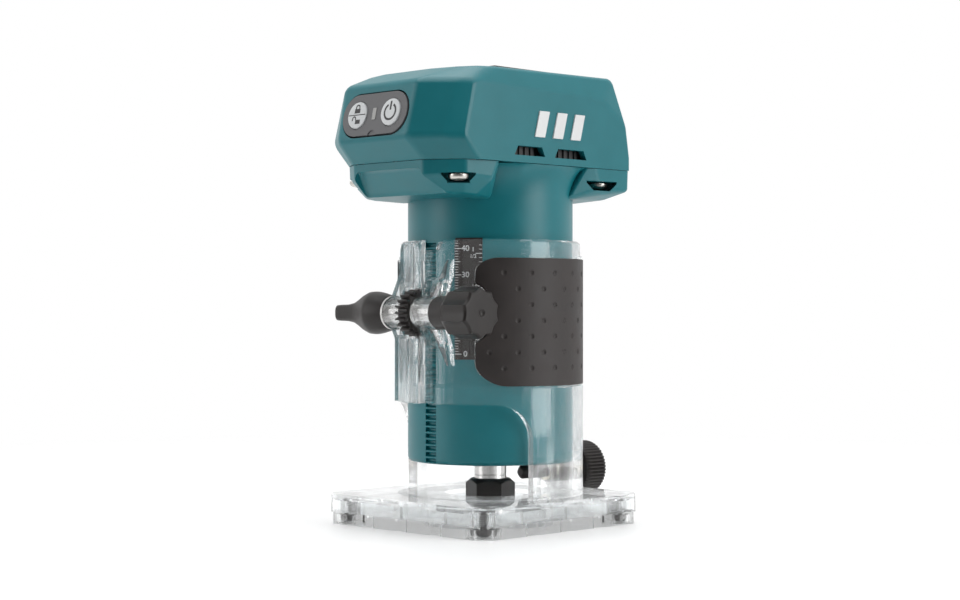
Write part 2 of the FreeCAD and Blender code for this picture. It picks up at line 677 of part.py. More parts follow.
def make_motor_housing():
    """Barrel with rack, bearing seat and stator ribs, and the lower half of the head."""
    barrel = turned([(BARREL_BORE_R, BARREL_LOW), (BARREL_R - BARREL_CHAMFER, BARREL_LOW),
                     (BARREL_R, BARREL_LOW + BARREL_CHAMFER), (BARREL_R, NECK_Z), (BARREL_R + 4, HEAD_LOW),
                     (BARREL_R + 4, HEAD_FLOOR), (BARREL_BORE_R, HEAD_FLOOR)])
    lower = lower_block(0, HEAD_LOW, SEAM_Z).cut(lower_block(HEAD_WALL, HEAD_FLOOR, SEAM_Z + 1))
    barrel = barrel.common(box((-33.6, 33.6), (-40, 40), (0, 200)))
    bosses = [cylinder(HEAD_BOSS_R, HEAD_BOSS_LOW, SEAM_Z, x, y).common(lower_block(0, HEAD_LOW, SEAM_Z))
              for x, y in HEAD_SCREWS]
    posts = [cylinder(2.5, HEAD_FLOOR - 1, TRAY_LOW, sx * 19, sy * 28.5) for sx in (-1, 1) for sy in (-1, 1)]
    floor = cylinder(BARREL_BORE_R + 0.5, BARREL_LOW, BARREL_FLOOR)
    seat = cylinder(RETAINER_R + 0.5, BARREL_FLOOR - 0.5, BEARING_HIGH + 0.4)
    rib = box((BARREL_BORE_R - 4.4, BARREL_BORE_R + 0.6), (-2, 2), (BAFFLE_TOP, STATOR_TOP + 3))
    rack_pad = box((-7, 7), (-30.6, -27.5), (BARREL_LOW, RACK_TOP + 2)).cut(cylinder(STATOR_R + 1, 0, 200))
    shelf = ring(BARREL_BORE_R + 0.5, BARREL_BORE_R - 2.5, BRACKET_LOW - 3, BRACKET_LOW)
    lower_shaft_hole = cylinder(8.0, 0, BEARING_LOW)
    body = fused([barrel, lower, floor, seat, rack_pad, shelf] + bosses + posts + around(rib, RIB_COUNT, 0))
    cutters = [lower_shaft_hole, cylinder(BEARING_R + 0.02, BEARING_LOW, 60),
               cylinder(BARREL_BORE_R, BRACKET_LOW, HEAD_FLOOR + 1)]
    cutters += make_rack_gaps()
    cutters.append(sector_ring(
        BARREL_R + 2, BARREL_R - SCALE_THICK, SCALE_FROM, SCALE_TO, SCALE_LOW, SCALE_TOP))
    for x, y in HEAD_SCREWS:
        cutters.append(cylinder(M4_R, 120, SEAM_Z + 1, x, y))
        cutters.append(cylinder(4.2, 120, HEAD_BOSS_LOW + 2.5, x, y))
    for place in retainer_screw_places():
        cutters.append(cylinder(1.5, 30, 40, place.x, place.y))
    for side in (-1, 1):
        spot = from_front(LIGHT_RADIUS, side * LIGHT_ANGLE)
        cutters.append(cylinder(LIGHT_R, 20, BARREL_FLOOR + 1, spot.x, spot.y))
    return body.cut(cutters)


def retainer_screw_places():
    """Centres of the three screws of the bearing retainer."""
    return [from_front(RETAINER_SCREW_RADIUS, 60 + 120 * k) for k in range(3)]


def make_stator():
    """Laminated stator: yoke ring with inward teeth."""
    yoke = ring(STATOR_R, STATOR_R - STATOR_YOKE, STATOR_LOW, STATOR_TOP)
    tooth = box((STATOR_BORE_R - 2, STATOR_R - 1), (-TOOTH_HALF, TOOTH_HALF), (STATOR_LOW, STATOR_TOP))
    shoe = ring(STATOR_BORE_R + 1.6, STATOR_BORE_R, STATOR_LOW, STATOR_TOP)
    shoe = shoe.common(box((0, 40), (-5.5, 5.5), (STATOR_LOW, STATOR_TOP)))
    teeth = around(tooth, STATOR_TEETH, 30) + around(shoe, STATOR_TEETH, 30)
    return fused([yoke] + teeth).cut(cylinder(STATOR_BORE_R, 0, 200))


def make_coils():
    """One coil round each stator tooth."""
    inner_x, outer_x = STATOR_BORE_R + 2.2, STATOR_R - STATOR_YOKE - 0.4
    half = TOOTH_HALF + COIL_THICK
    low, high = STATOR_LOW - COIL_THICK - 0.6, STATOR_TOP + COIL_THICK + 0.6
    coil = box((inner_x, outer_x), (-half, half), (low, high))
    coil = coil.makeFillet(1.4, [e for e in coil.Edges if e.BoundBox.XLength > 1])
    coil = coil.cut(box((inner_x - 1, outer_x + 1), (-TOOTH_HALF - 0.5, TOOTH_HALF + 0.5),
                        (STATOR_LOW - 0.9, STATOR_TOP + 0.9)))
    limit = prism([V(0, 0, 0), V(60, 60 * math.tan(math.radians(29.5)), 0),
                   V(60, -60 * math.tan(math.radians(29.5)), 0)], V(0, 0, 200))
    coil = coil.common(limit).common(cylinder(STATOR_R - STATOR_YOKE - 0.1, 0, 200))
    return around(coil, STATOR_TEETH, 30)


def make_insulators():
    """End rings that carry the coils."""
    low = ring(STATOR_R - 0.3, STATOR_R - STATOR_YOKE + 0.2, STATOR_LOW - 3.5, STATOR_LOW)
    high = ring(STATOR_R - 0.3, STATOR_R - STATOR_YOKE + 0.2, STATOR_TOP, STATOR_TOP + 3.5)
    return [low, high]


def make_rotor_core(magnets):
    """Laminated rotor on the spindle, with slots for the magnets."""
    return ring(ROTOR_R, SPINDLE_R, STATOR_LOW, STATOR_TOP).cut(magnets)


def make_magnets():
    """Flat magnets inside the rotor."""
    inner = MAGNET_RADIUS - MAGNET_THICK / 2
    bar = box((inner, inner + MAGNET_THICK), (-MAGNET_HALF, MAGNET_HALF), (STATOR_LOW, STATOR_TOP))
    return around(bar, MAGNETS, 45)


def make_fan():
    """Centrifugal fan with a back disc."""
    hub = ring(9.0, SPINDLE_R, FAN_LOW, FAN_TOP)
    disc = ring(FAN_R, SPINDLE_R, FAN_LOW, FAN_LOW + 1.5)
    blade = box((8.0, FAN_R - 1), (-0.7, 0.7), (FAN_LOW + 1, FAN_TOP))
    blade.rotate(V(8, 0, 0), Z_AXIS, 25)
    blade = blade.common(cylinder(FAN_R - 0.3, FAN_LOW, FAN_TOP))
    return fused([hub, disc] + around(blade, FAN_BLADES))


def make_spindle():
    """Steel spindle with bearing journals and a taper for the collet."""
    outer = [(0, NOSE_LOW), (NOSE_R, NOSE_LOW), (NOSE_R, 23.2), (NOSE_R - 0.6, 23.6), (NOSE_R - 0.6, 24.4),
             (NOSE_R, 24.8), (NOSE_R, BEARING_LOW), (JOURNAL_R, BEARING_LOW), (JOURNAL_R, BEARING_HIGH + 0.4),
             (SPINDLE_R, BEARING_HIGH + 0.8), (SPINDLE_R, 101.0), (UPPER_JOURNAL_R, 101.5),
             (UPPER_JOURNAL_R, BRACKET_BOSS_TOP - 1), (0, BRACKET_BOSS_TOP - 1)]
    spindle = turned(outer)
    taper = turned([(0, NOSE_LOW), (TAPER_LOW_R, NOSE_LOW), (TAPER_TOP_R, TAPER_TOP),
                    (COLLET_BORE_R, TAPER_TOP), (COLLET_BORE_R, SHANK_STOP), (0, SHANK_STOP + 1)])
    return spindle.cut(taper)


def make_collet_cone():
    """Slotted collet in the spindle's taper."""
    cone = turned([(COLLET_BORE_R, COLLET_LOW), (COLLET_LOW_R, COLLET_LOW), (TAPER_LOW_R, NOSE_LOW),
                   (TAPER_TOP_R, TAPER_TOP), (COLLET_BORE_R, TAPER_TOP)])
    slot = box((0, 10), (-COLLET_SLOT / 2, COLLET_SLOT / 2), (COLLET_LOW - 1, TAPER_TOP - 3))
    return cone.cut(around(slot, 3, 15))


def make_collet_nut():
    """Hexagon nut over the spindle nose, one flat facing half way from -Y to +X."""
    across = NUT_FLATS / math.sqrt(3)
    angles = [math.radians(NUT_TURN + 60 * k) for k in range(6)]
    corners = [V(across * math.cos(a), across * math.sin(a), NUT_LOW) for a in angles]
    block = prism(corners, V(0, 0, NUT_TOP - NUT_LOW))
    form = turned([(0, NUT_LOW), (7.6, NUT_LOW), (9.9, NUT_LOW + 1.3), (9.9, NUT_TOP - 2.0),
                   (7.6, NUT_TOP), (0, NUT_TOP)])
    gap = NUT_CLEAR
    mouth_r = COLLET_LOW_R + gap
    bore = turned([(0, NUT_LOW - 1), (mouth_r, NUT_LOW - 1), (mouth_r, COLLET_LOW - gap),
                   (TAPER_LOW_R + 2 * gap, NOSE_LOW - gap), (NOSE_R + gap, NOSE_LOW - gap),
                   (NOSE_R + gap, NUT_TOP + 1), (0, NUT_TOP + 1)])
    return block.common(form).cut(bore)


def make_bearing(bore, outer, low, high):
    """Ball bearing as a pair of races joined by its shields."""
    thin = (outer - bore) * 0.22
    races = ring(outer, bore, low, high)
    rim = 0.5
    groove_low = ring(outer - thin, bore + thin, low - 1, low + rim)
    groove_high = ring(outer - thin, bore + thin, high - rim, high + 1)
    return races.cut([groove_low, groove_high])


def make_bracket():
    """Spider that carries the upper bearing on the barrel's inner shelf."""
    rim = ring(BARREL_BORE_R - 0.1, BARREL_BORE_R - 4.5, BRACKET_LOW, BRACKET_TOP)
    seat_r = UPPER_BEARING_R + BOOT_THICK
    boss = ring(seat_r + 2.2, seat_r, BRACKET_LOW, BRACKET_BOSS_TOP)
    spoke = box((UPPER_BEARING_R + 1.5, BARREL_BORE_R - 4), (-2.5, 2.5), (BRACKET_LOW, BRACKET_TOP))
    return fused([rim, boss] + around(spoke, 4, 45))


def bracket_screw_places():
    """Screws through the rim of the bracket, over the spokes."""
    return [from_front(BARREL_BORE_R - 2.6, 45 + 90 * k) for k in range(4)]


def make_battery_deck():
    """Black channel with inward lips that guides the battery from behind."""
    tray = box((-DECK_HALF, DECK_HALF), (DECK_FRONT, DECK_BACK), (DECK_FLOOR, DECK_TOP))
    channel = box((-DECK_HALF + DECK_WALL, DECK_HALF - DECK_WALL), (DECK_FRONT + DECK_WALL, DECK_BACK + 1),
                  (DECK_FLOOR_TOP, LIP_LOW))
    mouth = box((-DECK_HALF + LIP_REACH, DECK_HALF - LIP_REACH), (DECK_FRONT + DECK_WALL, DECK_BACK + 1),
                (DECK_FLOOR_TOP, DECK_TOP + 1))
    tray = tray.cut([channel, mouth])
    rear_lean = [V(-40, 41.5, 156), V(-40, 36.2, 176.5), V(-40, 60, 176.5), V(-40, 60, 156)]
    return tray.cut(prism(rear_lean, V(80, 0, 0)))


def make_terminal_block():
    """Raised block between the rails, slotted for the blades."""
    block = box((-BLOCK_HALF, BLOCK_HALF), (BLOCK_FRONT, BLOCK_BACK), (DECK_FLOOR_TOP, BLOCK_TOP))
    slots = [box((x - 0.9, x + 0.9), (BLOCK_FRONT + 3, BLOCK_BACK + 1), (DECK_FLOOR_TOP + 1, BLOCK_TOP + 1))
             for x in TERMINAL_X]
    return block.cut(slots)


def make_controller():
    """Heat-sink tray and the potted board in it, with its capacitor and power transistors."""
    tray = box((-22, 22), (-31, 31), (TRAY_LOW, TRAY_LOW + 9))
    tray = tray.cut(box((-20.5, 20.5), (-29.5, 29.5), (TRAY_LOW + 1.6, TRAY_LOW + 10)))
    board = box((-20, 20), (-29, 29), (TRAY_LOW + 3, TRAY_LOW + 4.6))
    capacitor = rod(5.0, -14, 14, -20, TRAY_LOW + 9.5)
    transistors = [box((x - 3, x + 3), (2, 12), (TRAY_LOW + 4.6, TRAY_LOW + 7.2))
                   for x in (-15, -9, -3, 3, 9, 15)]
    choke = cylinder(5.5, TRAY_LOW + 4.6, TRAY_LOW + 11, 0, 21)
    standoffs = [cylinder(2.0, TRAY_LOW + 1.6, TRAY_LOW + 3, x, y) for x in (-17, 17) for y in (-25, 25)]
    capacitor_foot = box((-12, 12), (-22, -18), (TRAY_LOW + 4.6, TRAY_LOW + 6))
    return tray, fused([board, capacitor, capacitor_foot, choke] + transistors + standoffs)


def make_badge(y):
    """Slanted raised bar on the right wall of the head."""
    face_x = 35.3 - (154 - 147) * 0.5 / 19
    points = [V(face_x - 0.3, y, 149), V(face_x - 0.3, y + 5.5, 149), V(face_x - 0.3, y + 8.5, 159),
              V(face_x - 0.3, y + 3.0, 159)]
    return prism(points, V(0.9, 0, 0)).cut(head_block(0))


os.makedirs("parts", exist_ok=True)

# Trimmer base
keep("base_housing", make_base_housing())
keep("base_plate", make_base_plate())
keep("base_screws", *make_base_screws())
grip = make_grip()
keep("grip_right", grip)
keep("grip_left", mirrored(grip))
keep("clamp_washer", rod(6.4, -EAR_OUT - 0.9, -EAR_OUT, PINION_Y, PINION_Z).cut(
    rod(SHAFT_R + RUNNING, -20, 0, PINION_Y, PINION_Z)))
keep("guide_insert", Part.makeCylinder(GUIDE_INSERT_R, 8, V(0, 33, GUIDE_Z), Y_AXIS).cut(
    Part.makeCylinder(GUIDE_R + RUNNING, 10, V(0, 32, GUIDE_Z), Y_AXIS)))

# Height adjuster
keep("pinion", make_pinion())
keep("pinion_shaft", rod(SHAFT_R, -CLAMP_INSERT_END + 0.5, KNOB_END - 6, PINION_Y, PINION_Z))
keep("adjusting_knob", make_adjusting_knob())

# Clamp nut
keep("clamp_nut", make_clamp_nut())
keep("clamp_nut_insert", rod(CLAMP_INSERT_R, -CLAMP_INSERT_END, -CLAMP_START, PINION_Y, PINION_Z).cut(
    rod(SHAFT_R + RUNNING, -CLAMP_INSERT_END - 1, 0, PINION_Y, PINION_Z)))

# Guide thumb screw
keep("guide_knob", make_guide_knob())
keep("guide_shank", make_guide_shank())

# Housing
keep("motor_housing", make_motor_housing())
keep("head_cover", make_head_cover())
keep("scale_strip", sector_ring(BARREL_R - 0.02, BARREL_R - SCALE_THICK, SCALE_FROM + 0.1, SCALE_TO - 0.1,
                                SCALE_LOW + 0.1, SCALE_TOP - 0.1))
keep("head_screws", *[cylinder(3.8, HEAD_BOSS_LOW + 0.3, HEAD_BOSS_LOW + 2.5, x, y).fuse(
    cylinder(M4_R - 0.02, HEAD_BOSS_LOW + 2, HEAD_SCREW_TOP - 1, x, y)) for x, y in HEAD_SCREWS])
badges = [make_badge(y) for y in (-12.0, -2.0, 8.0)]
keep("side_badges", *(badges + [mirrored(b) for b in badges]))

# Control panel
panel_back = PANEL_PROUD - PANEL_THICK
panel = rounded_plate(PANEL_WIDE - 0.2, PANEL_TALL - 0.2, PANEL_CORNER - 0.1, panel_back, PANEL_PROUD)
light_slot = box((-1.0, 1.0), (-2.3, 2.3), (-5, 5))
button_holes = [cylinder(BUTTON_R + 0.15, -5, 5, x, 0) for x in (-BUTTON_X, BUTTON_X)]
thumb_notch = cylinder(1.6, PANEL_PROUD - 0.8, 5, 0, -PANEL_TALL / 2)
keep("control_panel", on_panel(panel.cut(button_holes + [light_slot, thumb_notch])))
keep("led_window", on_panel(box((-0.95, 0.95), (-2.25, 2.25), (panel_back - 1, PANEL_PROUD + 0.2))))
for name, x in (("lock_button", -BUTTON_X), ("power_button", BUTTON_X)):
    cap = cylinder(BUTTON_R, BUTTON_PROUD - BUTTON_THICK, BUTTON_PROUD, x, 0)
    cap = cap.makeChamfer(0.5, [e for e in cap.Edges if e.BoundBox.ZMin > BUTTON_PROUD - 0.1])
    keep(name, on_panel(cap))
keep("switch_board", on_panel(rounded_plate(33, 14, 2, -BOARD_DEPTH, -BOARD_DEPTH + BOARD_THICK)))
switches = [box((x - 2.6, x + 2.6), (-2.6, 2.6), (-BOARD_DEPTH + BOARD_THICK, -SWITCH_TOP_DEPTH))
            for x in (-BUTTON_X, BUTTON_X)]
keep("tactile_switches", *[on_panel(one) for one in switches])

# Speed dial
wheel = rod(DIAL_R, -DIAL_HALF, DIAL_HALF, DIAL_Y, DIAL_Z)
grooves = around(rod(0.45, -DIAL_HALF - 1, DIAL_HALF + 1, DIAL_Y, DIAL_Z + DIAL_R + 0.1), 36, 0,
                 V(0, DIAL_Y, DIAL_Z), X_AXIS)
keep("speed_dial", wheel.cut(grooves + [rod(1.55, -9, 9, DIAL_Y, DIAL_Z)]))
pot_body = box((5.2, 11.2), (DIAL_Y - 5, DIAL_Y + 5), (DIAL_Z - 5.5, DIAL_Z + 4.5))
keep("dial_pot", pot_body.fuse(rod(1.5, -4.5, 6, DIAL_Y, DIAL_Z)))

# Battery mount
keep("battery_deck", make_battery_deck())
keep("terminal_block", make_terminal_block())
terminal_y = (BLOCK_FRONT + 3, BLOCK_BACK)
terminal_z = (DECK_FLOOR_TOP + 1, BLOCK_TOP - 0.5)
keep("terminals", *[box((x - 0.4, x + 0.4), terminal_y, terminal_z) for x in TERMINAL_X])

# Electronics
tray, board = make_controller()
keep("controller_tray", tray)
keep("controller_board", board)
keep("phase_leads", *[cylinder(1.2, STATOR_TOP + 3.6, TRAY_LOW - 0.1, x, 23.5) for x in (-5, 0, 5)])

# Motor
keep("stator_core", make_stator())
keep("stator_coils", *make_coils())
keep("stator_insulators", *make_insulators())
keep("sensor_board", ring(20.5, 9.0, STATOR_TOP + 4.2, STATOR_TOP + 5.6))
keep("fan_baffle", ring(BARREL_BORE_R - 0.1, 20.0, BAFFLE_LOW, BAFFLE_TOP).cut(
    box((-7.2, 7.2), (-31, -25), (50, 60))))
keep("lower_bearing", make_bearing(JOURNAL_R + RUNNING, BEARING_R, BEARING_LOW, BEARING_HIGH))
keep("bearing_retainer", ring(RETAINER_R, 9.0, BEARING_HIGH + 0.4, RETAINER_TOP).cut(
    [cylinder(1.6, 30, 50, p.x, p.y) for p in retainer_screw_places()]))
keep("retainer_screws", *[cylinder(2.4, RETAINER_TOP, RETAINER_TOP + 1.6, p.x, p.y).fuse(
    cylinder(1.48, 31, RETAINER_TOP + 0.5, p.x, p.y)) for p in retainer_screw_places()])
bracket_holes = [cylinder(1.55, 90, 120, p.x, p.y) for p in bracket_screw_places()]
keep("bearing_bracket", make_bracket().cut(bracket_holes))
keep("bearing_boot", ring(UPPER_BEARING_R + BOOT_THICK, UPPER_BEARING_R, BRACKET_TOP, BRACKET_BOSS_TOP - 0.5))
keep("upper_bearing", make_bearing(
    UPPER_JOURNAL_R + RUNNING, UPPER_BEARING_R, BRACKET_TOP + 0.8, BRACKET_TOP + 7.8))
keep("bracket_screws", *[cylinder(2.3, BRACKET_TOP, BRACKET_TOP + 1.5, p.x, p.y).fuse(
    cylinder(1.5, BRACKET_LOW, BRACKET_TOP + 0.5, p.x, p.y)) for p in bracket_screw_places()])

# Work lights
spots = [from_front(LIGHT_RADIUS, side * LIGHT_ANGLE) for side in (-1, 1)]
keep("work_lights", *[cylinder(LIGHT_R - 0.02, BARREL_LOW - 0.4, BARREL_FLOOR + 0.8, p.x, p.y)
                      for p in spots])
keep("light_board", sector_ring(27.2, 20.6, -44.9, 44.9, BARREL_FLOOR + 0.9, BARREL_FLOOR + 2.1))

# Spindle
magnets = make_magnets()
keep("spindle", make_spindle())
keep("rotor_core", make_rotor_core(magnets))
keep("rotor_magnets", *magnets)
keep("rotor_end_plates", ring(12.4, SPINDLE_R, STATOR_LOW - 1.5, STATOR_LOW),
     ring(12.4, SPINDLE_R, STATOR_TOP, STATOR_TOP + 1.5))
keep("fan", make_fan())
keep("collet_cone", make_collet_cone())
keep("collet_nut", make_collet_nut())
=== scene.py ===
import bpy
import bmesh
import json
import math
from mathutils import Matrix, Vector


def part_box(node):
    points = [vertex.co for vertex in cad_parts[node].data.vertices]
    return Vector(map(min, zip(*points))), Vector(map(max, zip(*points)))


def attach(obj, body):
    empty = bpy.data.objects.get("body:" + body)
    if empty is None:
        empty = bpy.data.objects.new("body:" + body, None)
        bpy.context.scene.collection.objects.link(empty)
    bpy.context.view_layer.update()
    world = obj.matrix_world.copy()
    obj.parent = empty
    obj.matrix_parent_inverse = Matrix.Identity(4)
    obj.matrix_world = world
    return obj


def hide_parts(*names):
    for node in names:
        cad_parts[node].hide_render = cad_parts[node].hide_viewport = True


# Cordless trim router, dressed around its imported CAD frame.
# Lengths in this script are millimetres unless a name says otherwise; M turns them into metres.
# The front of the tool is -Y, the height knob points to +X, +Z is up.

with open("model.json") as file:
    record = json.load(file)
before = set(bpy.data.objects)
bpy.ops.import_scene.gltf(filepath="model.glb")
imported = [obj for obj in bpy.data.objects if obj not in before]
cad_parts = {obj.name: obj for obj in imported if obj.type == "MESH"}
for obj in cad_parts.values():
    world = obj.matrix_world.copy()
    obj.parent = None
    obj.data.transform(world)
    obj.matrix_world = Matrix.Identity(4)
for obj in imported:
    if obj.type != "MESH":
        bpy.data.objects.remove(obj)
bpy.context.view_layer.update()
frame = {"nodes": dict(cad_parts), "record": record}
nodes = frame["nodes"]
M = 0.001
X, Y, Z = Vector((1, 0, 0)), Vector((0, 1, 0)), Vector((0, 0, 1))


# ---------------------------------------------------------------- mesh tools

def linked(name, data):
    """New object in the scene."""
    obj = bpy.data.objects.new(name, data)
    bpy.context.scene.collection.objects.link(obj)
    return obj


def new_piece(name, bm):
    """Object from a bmesh drawn in millimetres."""
    bmesh.ops.remove_doubles(bm, verts=bm.verts, dist=1e-4)
    bmesh.ops.recalc_face_normals(bm, faces=bm.faces)
    bmesh.ops.scale(bm, vec=(M, M, M), verts=bm.verts)
    mesh = bpy.data.meshes.new(name)
    bm.to_mesh(mesh)
    bm.free()
    return linked(name, mesh)


def axes(along, start):
    """Matrix that maps local Z to a direction and the origin to a start point."""
    turn = Z.rotation_difference(Vector(along)).to_matrix().to_4x4()
    return Matrix.Translation(Vector(start)) @ turn


def lathe(name, profile, steps=128, along=Z, start=(0, 0, 0)):
    """Closed solid of revolution from (radius, height) pairs; the loop closes by itself."""
    bm = bmesh.new()
    rings = []
    for r, h in profile:
        if r < 1e-6:
            rings.append([bm.verts.new((0, 0, h))])
        else:
            turns = [2 * math.pi * i / steps for i in range(steps)]
            rings.append([bm.verts.new((r * math.cos(t), r * math.sin(t), h)) for t in turns])
    for a, b in zip(rings, rings[1:] + rings[:1]):
        for i in range(steps):
            j = (i + 1) % steps
            loop = [a[i % len(a)], a[j % len(a)], b[j % len(b)], b[i % len(b)]]
            corners = list(dict.fromkeys(loop))
            if len(corners) > 2:
                bm.faces.new(corners)
    bmesh.ops.transform(bm, matrix=axes(along, start), verts=bm.verts)
    return new_piece(name, bm)


def slab(name, outline, low, high, place=Matrix.Identity(4)):
    """Closed polygon pushed from one height to another, then placed."""
    bm = bmesh.new()
    bottom = [bm.verts.new((x, y, low)) for x, y in outline]
    top = [bm.verts.new((x, y, high)) for x, y in outline]
    bm.faces.new(bottom)
    bm.faces.new(top)
    for i in range(len(outline)):
        j = (i + 1) % len(outline)
        bm.faces.new((bottom[i], bottom[j], top[j], top[i]))
    bmesh.ops.transform(bm, matrix=place, verts=bm.verts)
    return new_piece(name, bm)


def hull(name, points):
    """Convex solid around points, with its flat faces whole."""
    bm = bmesh.new()
    for p in points:
        bm.verts.new(p)
    bm.verts.index_update()
    result = bmesh.ops.convex_hull(bm, input=bm.verts)
    spare = {v for v in result["geom_unused"] + result["geom_interior"] if isinstance(v, bmesh.types.BMVert)}
    bmesh.ops.delete(bm, geom=sorted(spare, key=lambda v: v.index), context="VERTS")
    bmesh.ops.dissolve_limit(bm, angle_limit=math.radians(1.0), verts=bm.verts, edges=bm.edges)
    return new_piece(name, bm)


def block(name, x, y, z):
    """Box from three (low, high) pairs."""
    return slab(name, [(x[0], y[0]), (x[1], y[0]), (x[1], y[1]), (x[0], y[1])], z[0], z[1])


def rod(name, r, start, end, steps=48):
    """Cylinder between two points."""
    a, b = Vector(start), Vector(end)
    return lathe(name, [(0, 0), (r, 0), (r, (b - a).length), (0, (b - a).length)], steps, b - a, a)


def drum(name, r, low, high, steps, x=0.0, y=0.0):
    """Upright cylinder."""
    return lathe(name, [(0, low), (r, low), (r, high), (0, high)], steps, start=(x, y, 0))


def skinned(name, bm, rings, place=Matrix.Identity(4)):
    """Solid whose walls join each ring of vertices to the next, closed at both ends, then placed."""
    count = len(rings[0])
    for a, b in zip(rings, rings[1:]):
        for i in range(count):
            j = (i + 1) % count
            bm.faces.new((a[i], a[j], b[j], b[i]))
    bm.faces.new(rings[0])
    bm.faces.new(rings[-1])
    bmesh.ops.transform(bm, matrix=place, verts=bm.verts)
    return new_piece(name, bm)


def rounded(points, steps=6):
    """Polygon with rounded corners from (x, y, radius) entries."""
    outline = []
    count = len(points)
    for i, (x, y, r) in enumerate(points):
        p = Vector((x, y))
        if r <= 0:
            outline.append((x, y))
            continue
        a = (Vector(points[i - 1][:2]) - p).normalized()
        b = (Vector(points[(i + 1) % count][:2]) - p).normalized()
        half = a.angle(b) / 2
        reach = r / math.tan(half)
        centre = p + (a + b).normalized() * (r / math.sin(half))
        first, last = p + a * reach - centre, p + b * reach - centre
        sweep = first.angle_signed(last)
        for k in range(steps + 1):
            turn = Matrix.Rotation(-sweep * k / steps, 2)
            q = centre + turn @ first
            outline.append((q.x, q.y))
    return outline


def applied(obj):
    """Freeze an object's modifiers into its mesh."""
    graph = bpy.context.evaluated_depsgraph_get()
    mesh = bpy.data.meshes.new_from_object(obj.evaluated_get(graph))
    obj.modifiers.clear()
    obj.data = mesh
    return obj


def joined(name, parts):
    """One object from several, their meshes kept apart."""
    bm = bmesh.new()
    for part in parts:
        bm.from_mesh(part.data)
    mesh = bpy.data.meshes.new(name)
    bm.to_mesh(mesh)
    bm.free()
    for part in parts:
        bpy.data.objects.remove(part)
    return linked(name, mesh)


def combine(obj, tools, operation):
    """Boolean with each tool in turn; the tools are used up."""
    for tool in tools:
        modifier = obj.modifiers.new("combine", "BOOLEAN")
        modifier.operation = operation
        modifier.solver = "EXACT"
        modifier.object = tool
        applied(obj)
        bpy.data.objects.remove(tool)
    return obj


def cut(obj, *tools):
    return combine(obj, tools, "DIFFERENCE")


def fuse(obj, *tools):
    return combine(obj, tools, "UNION")


def clip(obj, *tools):
    return combine(obj, tools, "INTERSECT")


def soften(obj, width, segments=3, angle=30):
    """Round the edges sharper than an angle, and shade smoothly."""
    bm = bmesh.new()
    bm.from_mesh(obj.data)
    bmesh.ops.remove_doubles(bm, verts=bm.verts, dist=2e-6)
    bmesh.ops.dissolve_degenerate(bm, edges=bm.edges, dist=1e-6)
    bmesh.ops.dissolve_limit(bm, angle_limit=math.radians(0.5), verts=bm.verts, edges=bm.edges)
    bm.to_mesh(obj.data)
    bm.free()
    if width > 0:
        modifier = obj.modifiers.new("soften", "BEVEL")
        modifier.width = width * M
        modifier.segments = segments
        modifier.limit_method = "ANGLE"
        modifier.angle_limit = math.radians(angle)
        modifier.use_clamp_overlap = True
        modifier.miter_outer = "MITER_ARC"
        applied(obj)
    return shade(obj, angle)


def shade(obj, angle=30, weighted=True):
    """Smooth shading with sharp edges over an angle."""
    obj.data.shade_smooth()
    obj.data.set_sharp_from_angle(angle=math.radians(angle))
    if weighted:
        modifier = obj.modifiers.new("normals", "WEIGHTED_NORMAL")
        modifier.keep_sharp = True
        modifier.weight = 80
        applied(obj)
    return obj


def mirrored(obj, name):
    """Copy on the other side of the YZ plane."""
    copy = linked(name, obj.data.copy())
    copy.data.transform(Matrix.Scale(-1, 4, X))
    copy.data.flip_normals()
    return copy


def from_front(r, degrees, z=0.0):
    """Point on a circle about the spindle, by its angle from -Y toward +X."""
    turn = math.radians(degrees)
    return Vector((r * math.sin(turn), -r * math.cos(turn), z))


# ---------------------------------------------------------------- materials

CLOUD_SCALE = 90.0
CLOUD_LOW, CLOUD_HIGH = 0.3, 0.7
GRAIN_DEPTH = 0.0001


def material(name, colour, roughness, metallic, grain, bump, mottle, rough_span, **sockets):
    """Principled material with fine grain in its bump and mottled colour and roughness."""
    mat = bpy.data.materials.new(name)
    mat.use_nodes = True
    tree = mat.node_tree
    node, link = tree.nodes.new, tree.links.new
    shader = tree.nodes["Principled BSDF"]
    shader.inputs["Base Color"].default_value = (*colour, 1)
    shader.inputs["Roughness"].default_value = roughness
    shader.inputs["Metallic"].default_value = metallic
    for key, value in sockets.items():
        shader.inputs[key.replace("_", " ")].default_value = value
    place = node("ShaderNodeTexCoord")
    if mottle or rough_span:
        clouds = node("ShaderNodeTexNoise")
        clouds.inputs["Scale"].default_value = CLOUD_SCALE
        clouds.inputs["Detail"].default_value = 5.0
        link(place.outputs["Object"], clouds.inputs["Vector"])
    if mottle:
        ramp = node("ShaderNodeValToRGB")
        dark, light = ramp.color_ramp.elements
        dark.position, light.position = CLOUD_LOW, CLOUD_HIGH
        dark.color = (*[c * (1 - mottle) for c in colour], 1)
        light.color = (*[min(1.0, c * (1 + mottle)) for c in colour], 1)
        link(clouds.outputs["Fac"], ramp.inputs["Fac"])
        link(ramp.outputs["Color"], shader.inputs["Base Color"])
    if rough_span:
        span = node("ShaderNodeMapRange")
        span.inputs["From Min"].default_value = CLOUD_LOW
        span.inputs["From Max"].default_value = CLOUD_HIGH
        span.inputs["To Min"].default_value = roughness - rough_span
        span.inputs["To Max"].default_value = roughness + rough_span
        link(clouds.outputs["Fac"], span.inputs["Value"])
        link(span.outputs["Result"], shader.inputs["Roughness"])
    noise = node("ShaderNodeTexNoise")
    noise.inputs["Scale"].default_value = grain
    noise.inputs["Detail"].default_value = 3.0
    link(place.outputs["Object"], noise.inputs["Vector"])
    relief = node("ShaderNodeBump")
    relief.inputs["Strength"].default_value = bump
    relief.inputs["Distance"].default_value = GRAIN_DEPTH
    link(noise.outputs["Fac"], relief.inputs["Height"])
    link(relief.outputs["Normal"], shader.inputs["Normal"])
    return mat


